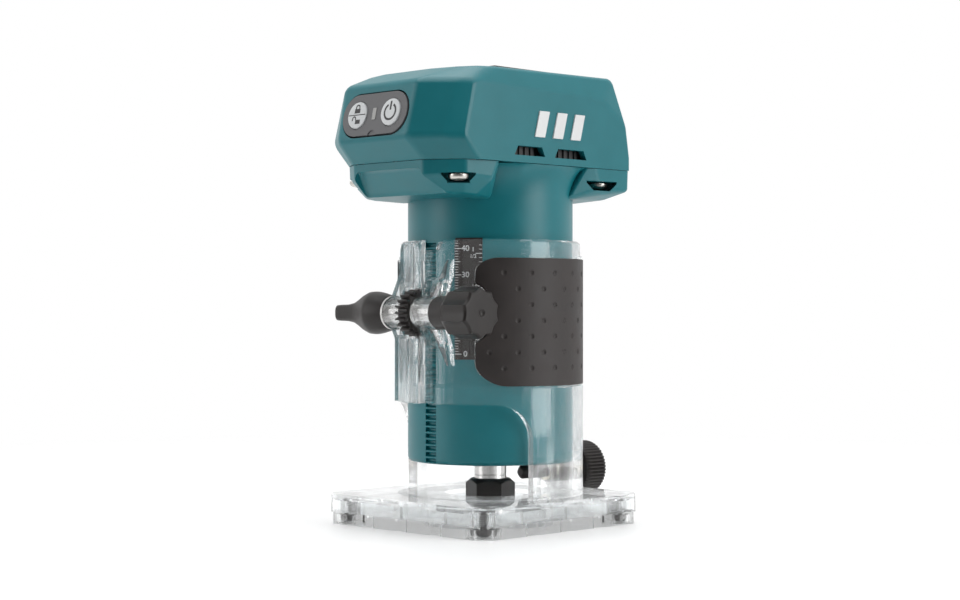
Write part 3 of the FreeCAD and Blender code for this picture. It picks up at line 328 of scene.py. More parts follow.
# Each finish: colour, roughness, metallic, grain scale, bump strength, mottle, span of roughness.
LOOKS = {
    "clear_moulding": ((0.97, 0.985, 0.99), 0.02, 0.0, 25.0, 0.02, 0.0, 0.0),
    "lens_clear": ((0.42, 0.42, 0.41), 0.25, 0.0, 400.0, 0.05, 0.0, 0.0),
    "grip_rubber": ((0.022, 0.017, 0.016), 0.55, 0.0, 2600.0, 0.35, 0.25, 0.06),
    "teal_housing": ((0.005, 0.150, 0.176), 0.38, 0.0, 3200.0, 0.16, 0.04, 0.03),
    "dark_knob": ((0.018, 0.015, 0.014), 0.42, 0.0, 2400.0, 0.2, 0.15, 0.05),
    "black_steel": ((0.024, 0.021, 0.020), 0.4, 0.2, 1800.0, 0.1, 0.2, 0.06),
    "bright_steel": ((0.58, 0.57, 0.56), 0.24, 1.0, 1500.0, 0.08, 0.06, 0.05),
    "zinc_screw": ((0.60, 0.58, 0.54), 0.3, 1.0, 1500.0, 0.1, 0.1, 0.06),
    "brass": ((0.62, 0.57, 0.46), 0.32, 1.0, 1500.0, 0.08, 0.08, 0.05),
    "scale_label": ((0.018, 0.012, 0.010), 0.45, 0.0, 1500.0, 0.08, 0.1, 0.04),
    "panel_grey": ((0.105, 0.105, 0.110), 0.42, 0.0, 2600.0, 0.15, 0.05, 0.04),
    "button_light": ((0.60, 0.62, 0.63), 0.4, 0.0, 2200.0, 0.1, 0.03, 0.04),
    "badge_white": ((0.70, 0.71, 0.71), 0.4, 0.0, 2000.0, 0.06, 0.02, 0.03),
    "deck_black": ((0.014, 0.014, 0.015), 0.4, 0.0, 2600.0, 0.2, 0.15, 0.05),
    "board_green": ((0.01, 0.09, 0.04), 0.35, 0.0, 900.0, 0.15, 0.3, 0.08),
    "copper": ((0.70, 0.28, 0.12), 0.3, 0.9, 1200.0, 0.3, 0.15, 0.06),
    "tinned": ((0.66, 0.66, 0.63), 0.25, 1.0, 1200.0, 0.08, 0.08, 0.05),
    "aluminium_cast": ((0.55, 0.56, 0.57), 0.4, 1.0, 1400.0, 0.3, 0.1, 0.08),
    "lamination": ((0.30, 0.30, 0.31), 0.42, 1.0, 1600.0, 0.25, 0.2, 0.08),
    "magnet": ((0.45, 0.45, 0.46), 0.28, 1.0, 1600.0, 0.08, 0.08, 0.05),
    "insulator": ((0.62, 0.62, 0.56), 0.45, 0.0, 2200.0, 0.15, 0.05, 0.05),
    "wire_jacket": ((0.10, 0.015, 0.012), 0.45, 0.0, 2200.0, 0.15, 0.1, 0.05),
}
SOCKETS = {
    "clear_moulding": dict(IOR=1.45, Transmission_Weight=1.0, Alpha=0.76),
    "lens_clear": dict(IOR=1.5, Transmission_Weight=0.15),
    "teal_housing": dict(Specular_IOR_Level=0.4),
    "dark_knob": dict(Specular_IOR_Level=0.35),
}
finishes = {name: material(name, *look, **SOCKETS.get(name, {})) for name, look in LOOKS.items()}
slot_of = {row["node"]: row["material_slot"] for row in frame["record"]["subparts"]}
body_of = {node: body for body, members in frame["record"]["behaviour"]["bodies"].items() for node in members}


def dress(obj, slot):
    """Give an object one finish."""
    obj.data.materials.clear()
    obj.data.materials.append(finishes[slot])


def stand_for(obj, node):
    """A detailed piece takes the place of a CAD node, on the same body and in the same finish."""
    dress(obj, slot_of[node])
    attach(obj, body_of[node])
    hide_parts(node)


def added(obj, slot, body):
    """Extra surface detail that rides on a body without replacing a node."""
    dress(obj, slot)
    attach(obj, body)


for node_name, node_object in nodes.items():
    dress(node_object, slot_of[node_name])


# ---------------------------------------------------------------- form tools

def band(name, stations, inner, outer):
    """Curved plate about the spindle from (degrees from -Y toward +X, low, high) stations."""
    bm = bmesh.new()
    rows = []
    for degrees, low, high in stations:
        corners = [from_front(inner, degrees, low), from_front(outer, degrees, low),
                   from_front(outer, degrees, high), from_front(inner, degrees, high)]
        rows.append([bm.verts.new(p) for p in corners])
    return skinned(name, bm, rows)


def lobed(name, profile, lobes, depth, along, start, sharpness=1.0, steps=240, scalloped=False):
    """Lathe with lobes or hollow scallops; profile entries are (radius, height, share of the depth)."""
    bm = bmesh.new()
    rings = []
    for r, h, share in profile:
        ring = []
        for i in range(steps):
            t = 2 * math.pi * i / steps
            if scalloped:
                dip = 1 - (2 * ((lobes * i / steps) % 1.0) - 1) ** 2
            else:
                dip = (0.5 + 0.5 * math.cos(lobes * t)) ** sharpness
            q = r - depth * share * dip
            ring.append(bm.verts.new((q * math.cos(t), q * math.sin(t), h)))
        rings.append(ring)
    return skinned(name, bm, rings, axes(along, start))


def loft(name, stations, steps=64):
    """Solid along X through rounded sections: (x, y, z, half y, half z, squareness)."""
    bm = bmesh.new()
    rings = []
    for x, y, z, half_y, half_z, square in stations:
        ring = []
        for i in range(steps):
            t = 2 * math.pi * i / steps
            c, s = math.cos(t), math.sin(t)
            ring.append(bm.verts.new((x, y + half_y * math.copysign(abs(c) ** square, c),
                                      z + half_z * math.copysign(abs(s) ** square, s))))
        rings.append(ring)
    return skinned(name, bm, rings)


def both(points):
    """Points and their mirror images in the YZ plane."""
    return list(points) + [(-x, y, z) for x, y, z in points]


def square_outline(half, corner, centre_y):
    """Square with cut corners."""
    near = half - corner
    corners = [(half, near), (near, half), (-near, half), (-half, near),
               (-half, -near), (-near, -half), (near, -half), (half, -near)]
    return [(x, y + centre_y) for x, y in corners]


# ---------------------------------------------------------------- clear base

BASE_HALF = 45.0
BASE_Y = -3.85
BASE_CORNER = 5.85
SOLE_INSET = 0.7
SOLE_TOP = 4.7
BIT_OPENING_R = 12.5
EDGE_NOTCH_PITCH = 18.5
EDGE_NOTCH_HALF = 3.0
EDGE_NOTCH_DEPTH = 1.1
FLANGE_LOW = SOLE_TOP + 0.04
FLANGE_TOP = 11.7
RIB_PITCH = 24.0
RIB_HALF = 0.8
SLEEVE_R = 32.6
SLEEVE_LOWER_R = 36.6
SLEEVE_UPPER_R = 35.4
SLEEVE_TOP = 110.3
STEP_Z = 54.0
SLIT_HALF = 2.8
SLIT_CORNER_HALF = 5.6
SLIT_BAR_TOP = 106.3
MOUTH_CORNER = 4.0
WINDOW_TOP = 47.8
WINDOW_HALF = 71.0
WINDOW_CORNER = 14.0
PINION_Y = -40.0
PINION_Z = 82.5
GUIDE_Z = 18.5
SCREW_REACH = 36.0
SCREWS = [(sx * SCREW_REACH, BASE_Y + sy * SCREW_REACH) for sx in (1, -1) for sy in (1, -1)]
GRIP_R = 36.6
GRIP_SEAT_R = 34.0
GRIP_FRONT, GRIP_BACK = -29.8, 31.7
GRIP_LOW, GRIP_TOP = 54.7, 103.4
GRIP_LOW_CORNER, GRIP_TOP_CORNER = 9.0, 6.0
KNOB_NOTCH_R = 15.5
DIMPLE_PITCH = 6.0
DIMPLE_TURN = 17.1
DIMPLE_R = 1.7
EAR_END = 12.6
# Panel, outer blade and joining rung of an arm: side, depth, and distance above or below the pinion's axis.
EAR_ARM = (
    ((3.0, -42.6, 2.0), (9.0, -42.6, 2.0), (3.0, -36.0, 2.0), (9.0, -36.0, 2.0),
     (3.4, -38.6, 12.0), (7.0, -38.2, 12.0), (3.4, -34.0, 14.0), (7.4, -34.0, 14.0)),
    ((9.6, -43.0, 3.0), (12.4, -43.0, 3.0), (9.6, -36.5, 3.0), (12.4, -36.5, 3.0),
     (11.2, -34.8, 20.0), (13.4, -34.0, 20.0), (11.2, -31.6, 20.0), (13.4, -30.8, 20.0)),
    ((5.0, -38.4, 11.2), (12.0, -37.6, 11.2), (5.0, -34.0, 11.2), (12.0, -33.0, 11.2),
     (5.0, -38.0, 12.4), (12.2, -37.2, 12.4), (5.0, -34.0, 12.4), (12.2, -33.0, 12.4)),
)


def make_sole():
    """Clear sub-base: notched edges, bit opening, counterbored screw holes."""
    edge = BASE_HALF - SOLE_INSET
    below, above = -1, SOLE_TOP + 1
    plate = slab("sole_plate", square_outline(edge, BASE_CORNER - 0.4, BASE_Y), 0, SOLE_TOP)
    for along in (-EDGE_NOTCH_PITCH, 0.0, EDGE_NOTCH_PITCH):
        first, last = along - EDGE_NOTCH_HALF, along + EDGE_NOTCH_HALF
        for sign in (1, -1):
            low, high = sorted((sign * (edge - EDGE_NOTCH_DEPTH), sign * (edge + 2)))
            cut(plate, block("notch", (low, high), (BASE_Y + first, BASE_Y + last), (below, above)),
                block("notch", (first, last), (BASE_Y + low, BASE_Y + high), (below, above)))
    cut(plate, drum("hole", BIT_OPENING_R, below, above, 128))
    counterbore = [(0, below), (5.0, below), (5.0, 3.5), (2.25, 3.5), (2.25, above), (0, above)]
    for x, y in SCREWS:
        cut(plate, lathe("hole", counterbore, 48, start=(x, y, 0)))
    return soften(plate, 0.35, 2, 40)


def make_window():
    """Cutter for the front opening, its upper corners rounded; stations crowd toward them."""
    mid = (SLEEVE_R + SLEEVE_LOWER_R) / 2
    corner = math.degrees(WINDOW_CORNER / mid)
    crowding = 1.6
    stations = []
    steps = 64
    for i in range(-steps, steps + 1):
        share = i / steps
        degrees = math.copysign(WINDOW_HALF * (1 - (1 - abs(share)) ** crowding), share)
        past = max(0.0, abs(degrees) - (WINDOW_HALF - corner)) / corner
        high = WINDOW_TOP - WINDOW_CORNER * (1 - math.sqrt(max(0.0, 1 - past * past)))
        stations.append((degrees, FLANGE_TOP, high))
    return band("window", stations, SLEEVE_R - 10.6, SLEEVE_LOWER_R + 9.4)


def grip_stations(inset):
    """Outline of the right pad by angle, drawn in by an inset, its corners rounded."""
    front, back = GRIP_FRONT + inset, GRIP_BACK - inset
    low, top = GRIP_LOW + inset, GRIP_TOP - inset
    low_corner, top_corner = GRIP_LOW_CORNER - inset, GRIP_TOP_CORNER - inset
    stations = []
    steps = 96
    for i in range(steps + 1):
        share = 0.5 - 0.5 * math.cos(math.pi * i / steps)
        y = front + (back - front) * share
        edge = min(y - front, back - y)
        drop = low_corner - math.sqrt(max(0, low_corner ** 2 - max(0, low_corner - edge) ** 2))
        sink = top_corner - math.sqrt(max(0, top_corner ** 2 - max(0, top_corner - edge) ** 2))
        stations.append((math.degrees(math.acos(-y / GRIP_R)), low + drop, top - sink))
    return stations


def knob_notch(r, side=1):
    """Cutter of the notch around the height knob, or around the clamp nut on the left."""
    return rod("notch", r, (0, PINION_Y, PINION_Z), (side * 60, PINION_Y, PINION_Z), 96)


def make_ear(side):
    """Clamp ear: round boss on a web, with an arm above and below back to the sleeve."""
    boss = rod("ear", 6.0, (side * SLIT_HALF, PINION_Y, PINION_Z), (side * EAR_END, PINION_Y, PINION_Z), 64)
    low, high = sorted((side * SLIT_HALF, side * 6.5))
    fuse(boss, block("web", (low, high), (PINION_Y, -33.0), (PINION_Z - 9, PINION_Z + 9)))
    for way in (-1, 1):
        for corners in EAR_ARM:
            fuse(boss, hull("arm", [(side * x, y, PINION_Z + way * z) for x, y, z in corners]))
    low, high = sorted((side * SLIT_HALF, side * SLIT_CORNER_HALF))
    return fuse(boss, block("bar", (low, high), (-38.0, -32.0), (WINDOW_TOP + 0.4, SLIT_BAR_TOP)))


def make_flange():
    """Square foot of the moulding, hollow below with ribs, screw bosses and a well for the bit."""
    flange = slab("clear_base", square_outline(BASE_HALF, BASE_CORNER, BASE_Y), FLANGE_LOW, FLANGE_TOP)
    pocket = square_outline(BASE_HALF - 2.2, BASE_CORNER - 1.0, BASE_Y)
    cut(flange, slab("pocket", pocket, SOLE_TOP - 1, FLANGE_TOP - 2.5))
    inside, high = BASE_HALF - 1, FLANGE_TOP - 1
    for place in (-RIB_PITCH, 0.0, RIB_PITCH):
        first, last = place - RIB_HALF, place + RIB_HALF
        fuse(flange, block("rib", (first, last), (BASE_Y - inside, BASE_Y + inside), (FLANGE_LOW, high)),
             block("rib", (-inside, inside), (BASE_Y + first, BASE_Y + last), (FLANGE_LOW, high)))
    for x, y in SCREWS:
        fuse(flange, drum("boss", 4.6, FLANGE_LOW, high, 48, x, y))
    return fuse(flange, drum("well", 19.6, FLANGE_LOW, high, 96))


def make_tube():
    """Stepped tube of the sleeve with the raised rims round the grips and its front window."""
    inner = 30.0
    collar = [(inner, FLANGE_LOW), (SLEEVE_LOWER_R, FLANGE_LOW), (SLEEVE_LOWER_R, STEP_Z),
              (SLEEVE_UPPER_R + 0.1, STEP_Z + 1.1), (SLEEVE_UPPER_R, STEP_Z + 1.6),
              (SLEEVE_UPPER_R, SLEEVE_TOP - 0.8), (SLEEVE_UPPER_R - 0.8, SLEEVE_TOP), (inner, SLEEVE_TOP)]
    tube = lathe("sleeve", collar, 192)
    for side in (1, -1):
        rim = band("rim", [(side * d, a, b) for d, a, b in grip_stations(-1.2)], 31.0, GRIP_R - 0.4)
        fuse(tube, cut(rim, knob_notch(KNOB_NOTCH_R - 1.2, side)))
    return cut(tube, make_window())


def make_sleeve():
    """Clear moulding: ribbed flange, stepped split sleeve with its window, ears and rear boss."""
    flange = make_flange()
    fuse(flange, make_tube())
    fuse(flange, rod("rear_boss", 6.5, (0, 33.5, GUIDE_Z), (0, 41.0, GUIDE_Z), 64),
         block("rear_foot", (-6.5, 6.5), (34.0, 40.9), (FLANGE_TOP - 1, GUIDE_Z)))
    fuse(flange, make_ear(1), make_ear(-1))
    above = SLEEVE_TOP + 1
    # Two hollow bars left of the slit: a thick one below the ear, and one with a round crown above it.
    fuse(flange, block("thick_bar", (-11.0, -2.9), (-41.0, -30.0), (48.8, PINION_Z - 8.5)))
    crown = rounded([(-10.6, 90.5, 0), (-2.8, 90.5, 0), (-2.8, 109.7, 3.6), (-10.6, 109.7, 3.6)])
    fuse(flange, hull("top_bar", [(x, y, z) for x, z in crown for y in (-38.5, -32.0)]))
    cut(flange, block("core", (-9.7, -4.2), (-39.8, -35.6), (47.0, PINION_Z - 9.8)),
        block("core", (-9.4, -4.1), (-37.3, -34.0), (92.0, above)))
    # The slit opens into a mouth on its right, with a round inner corner.
    corner_x, corner_z = SLIT_CORNER_HALF + MOUTH_CORNER, SLEEVE_TOP - MOUTH_CORNER
    corner = block("corner", (SLIT_CORNER_HALF - 1, corner_x), (-50, -25), (corner_z, above))
    cut(corner, rod("round", MOUTH_CORNER, (corner_x, -52, corner_z), (corner_x, -20, corner_z), 64))
    cut(flange, drum("bore", SLEEVE_R, FLANGE_TOP, above, 192), drum("bit_hole", 18.0, 0, FLANGE_TOP + 1, 96),
        block("slit", (-SLIT_HALF, SLIT_HALF), (-50, -25), (WINDOW_TOP - 1, above)),
        block("slit_mouth", (-SLIT_HALF, SLIT_CORNER_HALF), (-50, -25), (SLIT_BAR_TOP, above)), corner,
        rod("shaft_hole", 3.05, (-20, PINION_Y, PINION_Z), (20, PINION_Y, PINION_Z)),
        rod("insert_hole", 4.02, (0, 30, GUIDE_Z), (0, 42, GUIDE_Z)))
    for x, y in SCREWS:
        cut(flange, drum("pilot", 2.02, 0, FLANGE_TOP - 2, 32, x, y))
    for side in (1, -1):
        seat = band("seat", [(side * d, a, b) for d, a, b in grip_stations(-0.1)], GRIP_SEAT_R, 44.0)
        cut(flange, cut(seat, knob_notch(KNOB_NOTCH_R, side)))
    return soften(flange, 0.3, 2, 40)


def make_grip():
    """Right rubber pad with rounded rim and rows of dimples."""
    pad = band("grip_pad_right", grip_stations(0.1), GRIP_SEAT_R + 0.02, GRIP_R)
    cut(pad, knob_notch(KNOB_NOTCH_R + 0.1))
    soften(pad, 0.7, 3, 40)
    ball = [(0, -DIMPLE_R), (0.85, -1.47), (1.47, -0.85), (DIMPLE_R, 0),
            (1.47, 0.85), (0.85, 1.47), (0, DIMPLE_R)]
    dots = []
    for row in range(7):
        z = 97.7 - DIMPLE_PITCH * row
        for column in range(8):
            degrees = 52.9 + DIMPLE_TURN * column - (8.6 if row % 2 else 0)
            spot = from_front(GRIP_R + 1.15, degrees, z)
            clear = math.hypot(spot.y - PINION_Y, z - PINION_Z) > KNOB_NOTCH_R + 2.9
            if clear and 42.0 < degrees < 143.0:
                dots.append(lathe("dot", ball, 20, spot, spot))
    cut(pad, joined("dots", dots))
    return shade(pad, 50)


stand_for(make_sole(), "base_plate")
stand_for(make_sleeve(), "base_housing")
grip_right = make_grip()
grip_left = mirrored(grip_right, "grip_pad_left")
stand_for(grip_right, "grip_right")
stand_for(grip_left, "grip_left")

# ---------------------------------------------------------------- height adjuster, clamp and guide screw

KNOB_END = 35.3
KNOB_LOBES = 10
GUIDE_RIBS = 48


def make_knob():
    """Lobed height knob with a plain neck, bored for its shaft."""
    sides = [(6.1, 12.9, 0), (6.25, 13.1, 0), (6.25, 19.2, 0), (6.6, 20.2, 0), (7.6, 21.4, 0.1),
             (9.0, 22.4, 0.4), (9.6, 23.2, 0.8), (9.7, 24.0, 1.0), (9.7, 34.0, 1.0), (9.45, 34.7, 1.0),
             (8.9, 35.15, 0.9), (8.3, KNOB_END, 0.7), (1.9, KNOB_END, 0.1), (1.5, 35.15, 0), (1.2, 34.8, 0),
             (0.3, 34.6, 0)]
    knob = lobed("height_knob", sides, KNOB_LOBES, 1.05, X, (0, PINION_Y, PINION_Z), scalloped=True)
    cut(knob, rod("bore", 3.01, (12, PINION_Y, PINION_Z), (29.3, PINION_Y, PINION_Z)))
    return shade(knob, 42)


def make_clamp():
    """Clamp nut: round hub that tapers into a flat thumb paddle with a squared end."""
    y, z = PINION_Y, PINION_Z
    stations = [(-13.8, 6.4, 6.4, 1), (-16.0, 7.2, 7.2, 1), (-19.0, 7.9, 7.9, 1), (-21.2, 8.25, 8.25, 1),
                (-22.6, 8.0, 8.3, 1), (-24.5, 7.0, 8.2, 0.95), (-28.0, 5.2, 7.0, 0.9),
                (-31.0, 3.8, 5.4, 0.8), (-34.0, 3.0, 4.0, 0.72), (-38.0, 2.7, 3.3, 0.65),
                (-42.0, 2.6, 3.2, 0.6), (-44.2, 2.5, 3.1, 0.6), (-44.8, 2.1, 2.7, 0.6),
                (-44.95, 1.6, 2.2, 0.6)]
    nut = loft("clamp_paddle", [(x, y, z, a, b, q) for x, a, b, q in stations], 72)
    cut(nut, rod("bore", 4.62, (-21.0, y, z), (-13.0, y, z)))
    return shade(nut, 40)


def make_guide_knob():
    """Round knob with fine ribs along its axis."""
    start = (0, 0, GUIDE_Z)
    sides = [(7.6, 46.0, 0), (9.6, 46.0, 0), (10.4, 46.4, 0.5), (10.9, 47.2, 1), (11.0, 48.0, 1),
             (11.0, 56.2, 1), (10.8, 57.0, 1), (10.2, 57.6, 0.5), (9.4, 57.9, 0), (8.6, 58.0, 0),
             (8.2, 57.4, 0), (0.4, 57.2, 0)]
    knob = lobed("guide_knob_ribbed", sides, GUIDE_RIBS, 0.7, Y, start, 1.3, 12 * GUIDE_RIBS)
    cut(knob, rod("bore", 2.76, (0, 45, GUIDE_Z), (0, 55, GUIDE_Z)))
    return shade(knob, 40)


def threaded(name, r, pitch, low, high, along, start):
    """Screw shank drawn as fine rings, chamfered at its tip."""
    profile = [(0, low), (r - 1.2, low), (r - 0.4, low + 1.0)]
    h = low + 1.4
    while h + pitch < high:
        profile += [(r, h), (r, h + pitch * 0.2), (r - 0.34, h + pitch * 0.5), (r, h + pitch * 0.9)]
        h += pitch
    return shade(lathe(name, profile + [(r, high), (0, high)], 64, along, start), 25)


stand_for(make_knob(), "adjusting_knob")
stand_for(make_clamp(), "clamp_nut")
stand_for(make_guide_knob(), "guide_knob")
stand_for(threaded("guide_thread", 2.75, 0.9, 17.0, 55.0, Y, (0, 0, GUIDE_Z)), "guide_shank")

# ---------------------------------------------------------------- spindle and collet

NUT_LOW = 8.6
NUT_TOP = 17.4
NUT_FLATS = 17.0
NUT_TURN = 41.5


def make_nut():
    """Hexagon nut with a turned chamfer at both ends and a bored mouth."""
    across = NUT_FLATS / math.sqrt(3)
    turns = [math.radians(NUT_TURN + 60 * k) for k in range(6)]
    corners = [(across * math.cos(t), across * math.sin(t)) for t in turns]
    nut = slab("collet_nut_hex", corners, NUT_LOW, NUT_TOP)
    clip(nut, lathe("form", [(0, NUT_LOW), (7.5, NUT_LOW), (7.9, NUT_LOW + 0.5), (9.9, NUT_LOW + 1.5),
                             (9.9, NUT_TOP - 2.0), (7.6, NUT_TOP), (0, NUT_TOP)], 144))
    bore = [(0, 7), (4.46, 7), (4.46, 9.54), (5.52, 10.94), (6.41, 10.94), (6.41, 19), (0, 19)]
    cut(nut, lathe("bore", bore, 96))
    return soften(nut, 0.22, 2, 28)


def make_spindle_steel():
    """Turned spindle with its wrench groove and journals, hollow at the nose."""
    nose, journal, shaft, tail, collet = 6.35, 6.0, 5.0, 4.0, 3.175
    profile = [(5.4, 11.0), (6.1, 11.0), (nose, 11.25), (nose, 18.6), (6.2, 18.75), (6.2, 19.0),
               (nose, 19.15), (nose, 23.2), (5.75, 23.6), (5.75, 24.4), (nose, 24.8), (nose, 27.6),
               (journal, 27.7), (journal, 36.0), (shaft, 36.4), (shaft, 101.0), (tail, 101.5), (tail, 114.6),
               (3.6, 115.0), (0, 115.0), (0, 37.5), (collet, 36.5), (collet, 22.5), (4.25, 22.5)]
    return shade(lathe("spindle_steel", profile, 128), 25)


stand_for(make_nut(), "collet_nut")
stand_for(make_spindle_steel(), "spindle")

# ---------------------------------------------------------------- motor housing and head

BARREL_R = 32.5
BARREL_LOW = 24.5
SEAM_Z = 138.9
NECK_Z = 125.0
LOFT_TOP = 144.0
SIDE_X = 35.15
MODULE = 0.75
PITCH = math.pi * MODULE
RACK_HALF = 2.9
RACK_LINE = -(BARREL_R - MODULE)
RACK_TOP = 110.0
HEAD_SCREWS = [(27.5, -44.5), (-27.5, -44.5), (28.0, 32.0), (-28.0, 32.0)]
SCALE_FROM, SCALE_TO = 20.6, 39.6
SCALE_LOW, SCALE_HIGH = 64.7, 111.0
SCALE_DEPTH = 0.3
SCALE_ZERO = 66.9
INCH = 25.4
SCREW_SEAT_Z = 130.4
LAMP_TURN = 35.0
DIAL_Y, DIAL_Z = -37.0, 165.3
KEY_X = 9.2
BAY_FLOOR = 166.0
PANEL_FOOT = Vector((0, -63.0, 147.0))
PANEL_HEAD = Vector((0, -58.6, 166.0))
PANEL_UP = (PANEL_HEAD - PANEL_FOOT).normalized()
PANEL_OUT = X.cross(PANEL_UP)
PANEL_TILT = Matrix((X, PANEL_UP, PANEL_OUT)).transposed().to_4x4()
PANEL_PLACE = Matrix.Translation((PANEL_FOOT + PANEL_HEAD) / 2) @ PANEL_TILT


def rack_gaps():
    """Tooth gaps of the rack, one cutter."""
    gaps = []
    lowest = int((PINION_Z - BARREL_LOW) / PITCH)
    highest = int((RACK_TOP - PINION_Z) / PITCH)
    slope = math.tan(math.radians(20))
    for k in range(-lowest, highest + 1):
        z = PINION_Z + k * PITCH
        points = []
        for depth in (-2.0 * MODULE, 1.25 * MODULE):
            half = PITCH / 4 - depth * slope + 0.06
            points += [(side * RACK_HALF, RACK_LINE + depth, z + way * half)
                       for side in (-1, 1) for way in (-1, 1)]
        gaps.append(hull("gap", points))
    return joined("rack_gaps", gaps)


def screw_pocket(x, y, outward, wide):
    """Shallow pocket at a head screw, open to the outside and narrower toward its foot."""
    out = Vector(outward).normalized()
    across = Z.cross(out)
    points = []
    for z, half in ((SCREW_SEAT_Z + 3.7, wide), (SCREW_SEAT_Z + 2.9, wide), (SCREW_SEAT_Z, wide * 0.55)):
        for reach in (-2.0, 12.0):
            for side in (-1, 1):
                points.append(Vector((x, y, z)) + out * reach + across * side * half)
    return hull("pocket", points)


def flared_neck():
    """Barrel that sweeps out into the side walls of the head."""
    bm = bmesh.new()
    steps = 192
    rings = []
    for k in range(17):
        z = NECK_Z + (LOFT_TOP - NECK_Z) * k / 16
        swell = min(1.0, (z - NECK_Z) / (SEAM_Z - NECK_Z))
        swell = 1 - math.sqrt(max(0.0, 1 - swell * swell))
        ring = []
        for i in range(steps):
            degrees = 360 * i / steps
            wall = min(SIDE_X / max(0.2, abs(math.sin(math.radians(degrees)))), 39.0)
            ring.append(bm.verts.new(from_front(BARREL_R - 0.05 + (wall - BARREL_R) * swell, degrees, z)))
        rings.append(ring)
    return skinned("neck", bm, rings)


NOSE_RIGHT = [
    (19.0, -55.0, LOFT_TOP), (28.0, -49.5, LOFT_TOP), (32.3, -45.2, LOFT_TOP), (SIDE_X, -29.0, LOFT_TOP),
    (19.0, -54.6, 133.0), (27.8, -49.1, 133.4), (32.0, -44.9, 133.4), (34.0, -33.0, 132.5),
    (16.0, -46.5, 127.4), (22.0, -45.6, 127.0), (27.0, -41.0, 126.6), (28.2, -36.5, 126.3),
    (24.0, -24.0, 125.6),
]
TAIL_RIGHT = [
    (SIDE_X, 21.5, LOFT_TOP), (35.2, 42.5, LOFT_TOP), (33.7, 44.0, LOFT_TOP),
    (35.0, 26.0, 131.4), (35.0, 42.2, 130.8), (33.5, 43.7, 130.8),
    (30.2, 12.5, 126.6), (27.0, 36.0, 127.2), (10.0, 38.0, 126.6),
]
SCOOP_RIGHT = [
    (17.2, -58.0, 136.2), (17.2, -53.6, 136.2), (22.4, -44.6, 127.3),
    (23.2, -43.6, 118.0), (23.2, -62.0, 118.0), (21.5, -62.0, 127.0),
]


def make_housing():
    """Barrel with rack, scale seat and floor, swept into the lower half of the head."""
    barrel = lathe("motor_shell", [(0, BARREL_LOW), (30.9, BARREL_LOW), (31.6, 24.7), (32.3, 25.4),
                                   (BARREL_R, 26.2), (BARREL_R, LOFT_TOP - 1), (0, LOFT_TOP - 1)], 192)
    front, rear = hull("nose", both(NOSE_RIGHT)), hull("tail", both(TAIL_RIGHT))
    soften(front, 2.4, 5, 12)
    soften(rear, 1.8, 4, 12)
    fuse(barrel, flared_neck(), front, rear)
    cut(barrel, soften(hull("scoop", both(SCOOP_RIGHT)), 1.8, 4, 10))
    soften(barrel, 0.9, 3, 32)
    cut(barrel, block("trim", (-60, 60), (-90, 70), (SEAM_Z - 0.08, 150)))
    for x, y in HEAD_SCREWS:
        outward = (math.copysign(1, x), -1 if y < 0 else -0.7, 0)
        cut(barrel, screw_pocket(x, y, outward, 6.4 if y < 0 else 7.0),
            drum("screw_way", 4.25, SCREW_SEAT_Z, SCREW_SEAT_Z + 3.7, 64, x, y))
    turns = [SCALE_FROM + (SCALE_TO - SCALE_FROM) * i / 12 for i in range(13)]
    stations = [(turn, SCALE_LOW, SCALE_HIGH) for turn in turns]
    seat = band("seat", stations, BARREL_R - SCALE_DEPTH, BARREL_R + 3)
    tips = (-36, RACK_LINE - MODULE)
    cut(barrel, block("tooth_tips", (-RACK_HALF, RACK_HALF), tips, (BARREL_LOW - 1, RACK_TOP)),
        rack_gaps(), seat, drum("hollow", 30.0, 27.5, 140, 96), drum("mouth", 8.0, 20, 30, 96))
    for side in (-1, 1):
        spot = from_front(24.5, side * LAMP_TURN)
        cut(barrel, drum("lamp_hole", 3.2, 20, 30, 48, spot.x, spot.y))
    return soften(barrel, 0.16, 2, 46)


HEAD_RIGHT = [
    (12.0, -44.6, 174.0), (24.0, -41.0, 174.1), (30.0, -36.0, 174.3), (31.5, -28.0, 174.6),
    (31.5, 37.2, 175.5), (19.9, -58.1, 168.3), (30.4, -48.4, 168.3), (34.4, -42.9, 168.0),
    (34.8, 28.0, 166.0), (33.2, 38.9, 166.0), (35.0, 42.2, 156.0), (18.9, -63.0, 147.0),
    (30.9, -54.6, 147.0), (35.3, -48.7, 147.0), (35.3, 43.9, 144.0), (20.3, -52.6, 136.6),
    (27.9, -47.3, 136.6), (35.0, -39.0, 136.6), (35.2, 44.0, 136.6),
]
VENTS = ((-22.6, -6.0), (-0.5, 17.5))
VENT_LOW, VENT_HIGH = 141.7, 145.2


def make_head():
    """Upper shell of the head: faceted form with panel seat, vents, dial slot and battery bay."""
    shell = hull("head_shell", both(HEAD_RIGHT))
    soften(shell, 1.7, 4, 9)
    cut(shell, block("trim", (-60, 60), (-90, 70), (120, SEAM_Z + 0.1)))
    room = [(x * 0.925, (y + 9) * 0.95 - 9, 137.0 + (z - 139.0) * 0.96) for x, y, z in both(HEAD_RIGHT)]
    cut(shell, hull("room", room))
    cut(shell, block("bay", (-27.05, 27.05), (-25.05, 60), (163.4, 190)))
    pocket = rounded([(18.2, 8.7, 8.3), (-18.2, 8.7, 8.3), (-18.2, -8.7, 8.3), (18.2, -8.7, 8.3)], 16)
    cut(shell, slab("panel_seat", pocket, -6, 4, PANEL_PLACE))
    cut(shell, rod("dial_slot", 10.0, (-3.4, DIAL_Y, DIAL_Z), (3.4, DIAL_Y, DIAL_Z), 96))
    for start, end in VENTS:
        corners = ((start, VENT_LOW), (end, VENT_LOW), (end - 1.8, VENT_HIGH), (start + 1.8, VENT_HIGH))
        for side in (-1, 1):
            cut(shell, hull("vent", [(side * x, y, z) for x in (20, 50) for y, z in corners]))
    return soften(shell, 0.3, 2, 38)


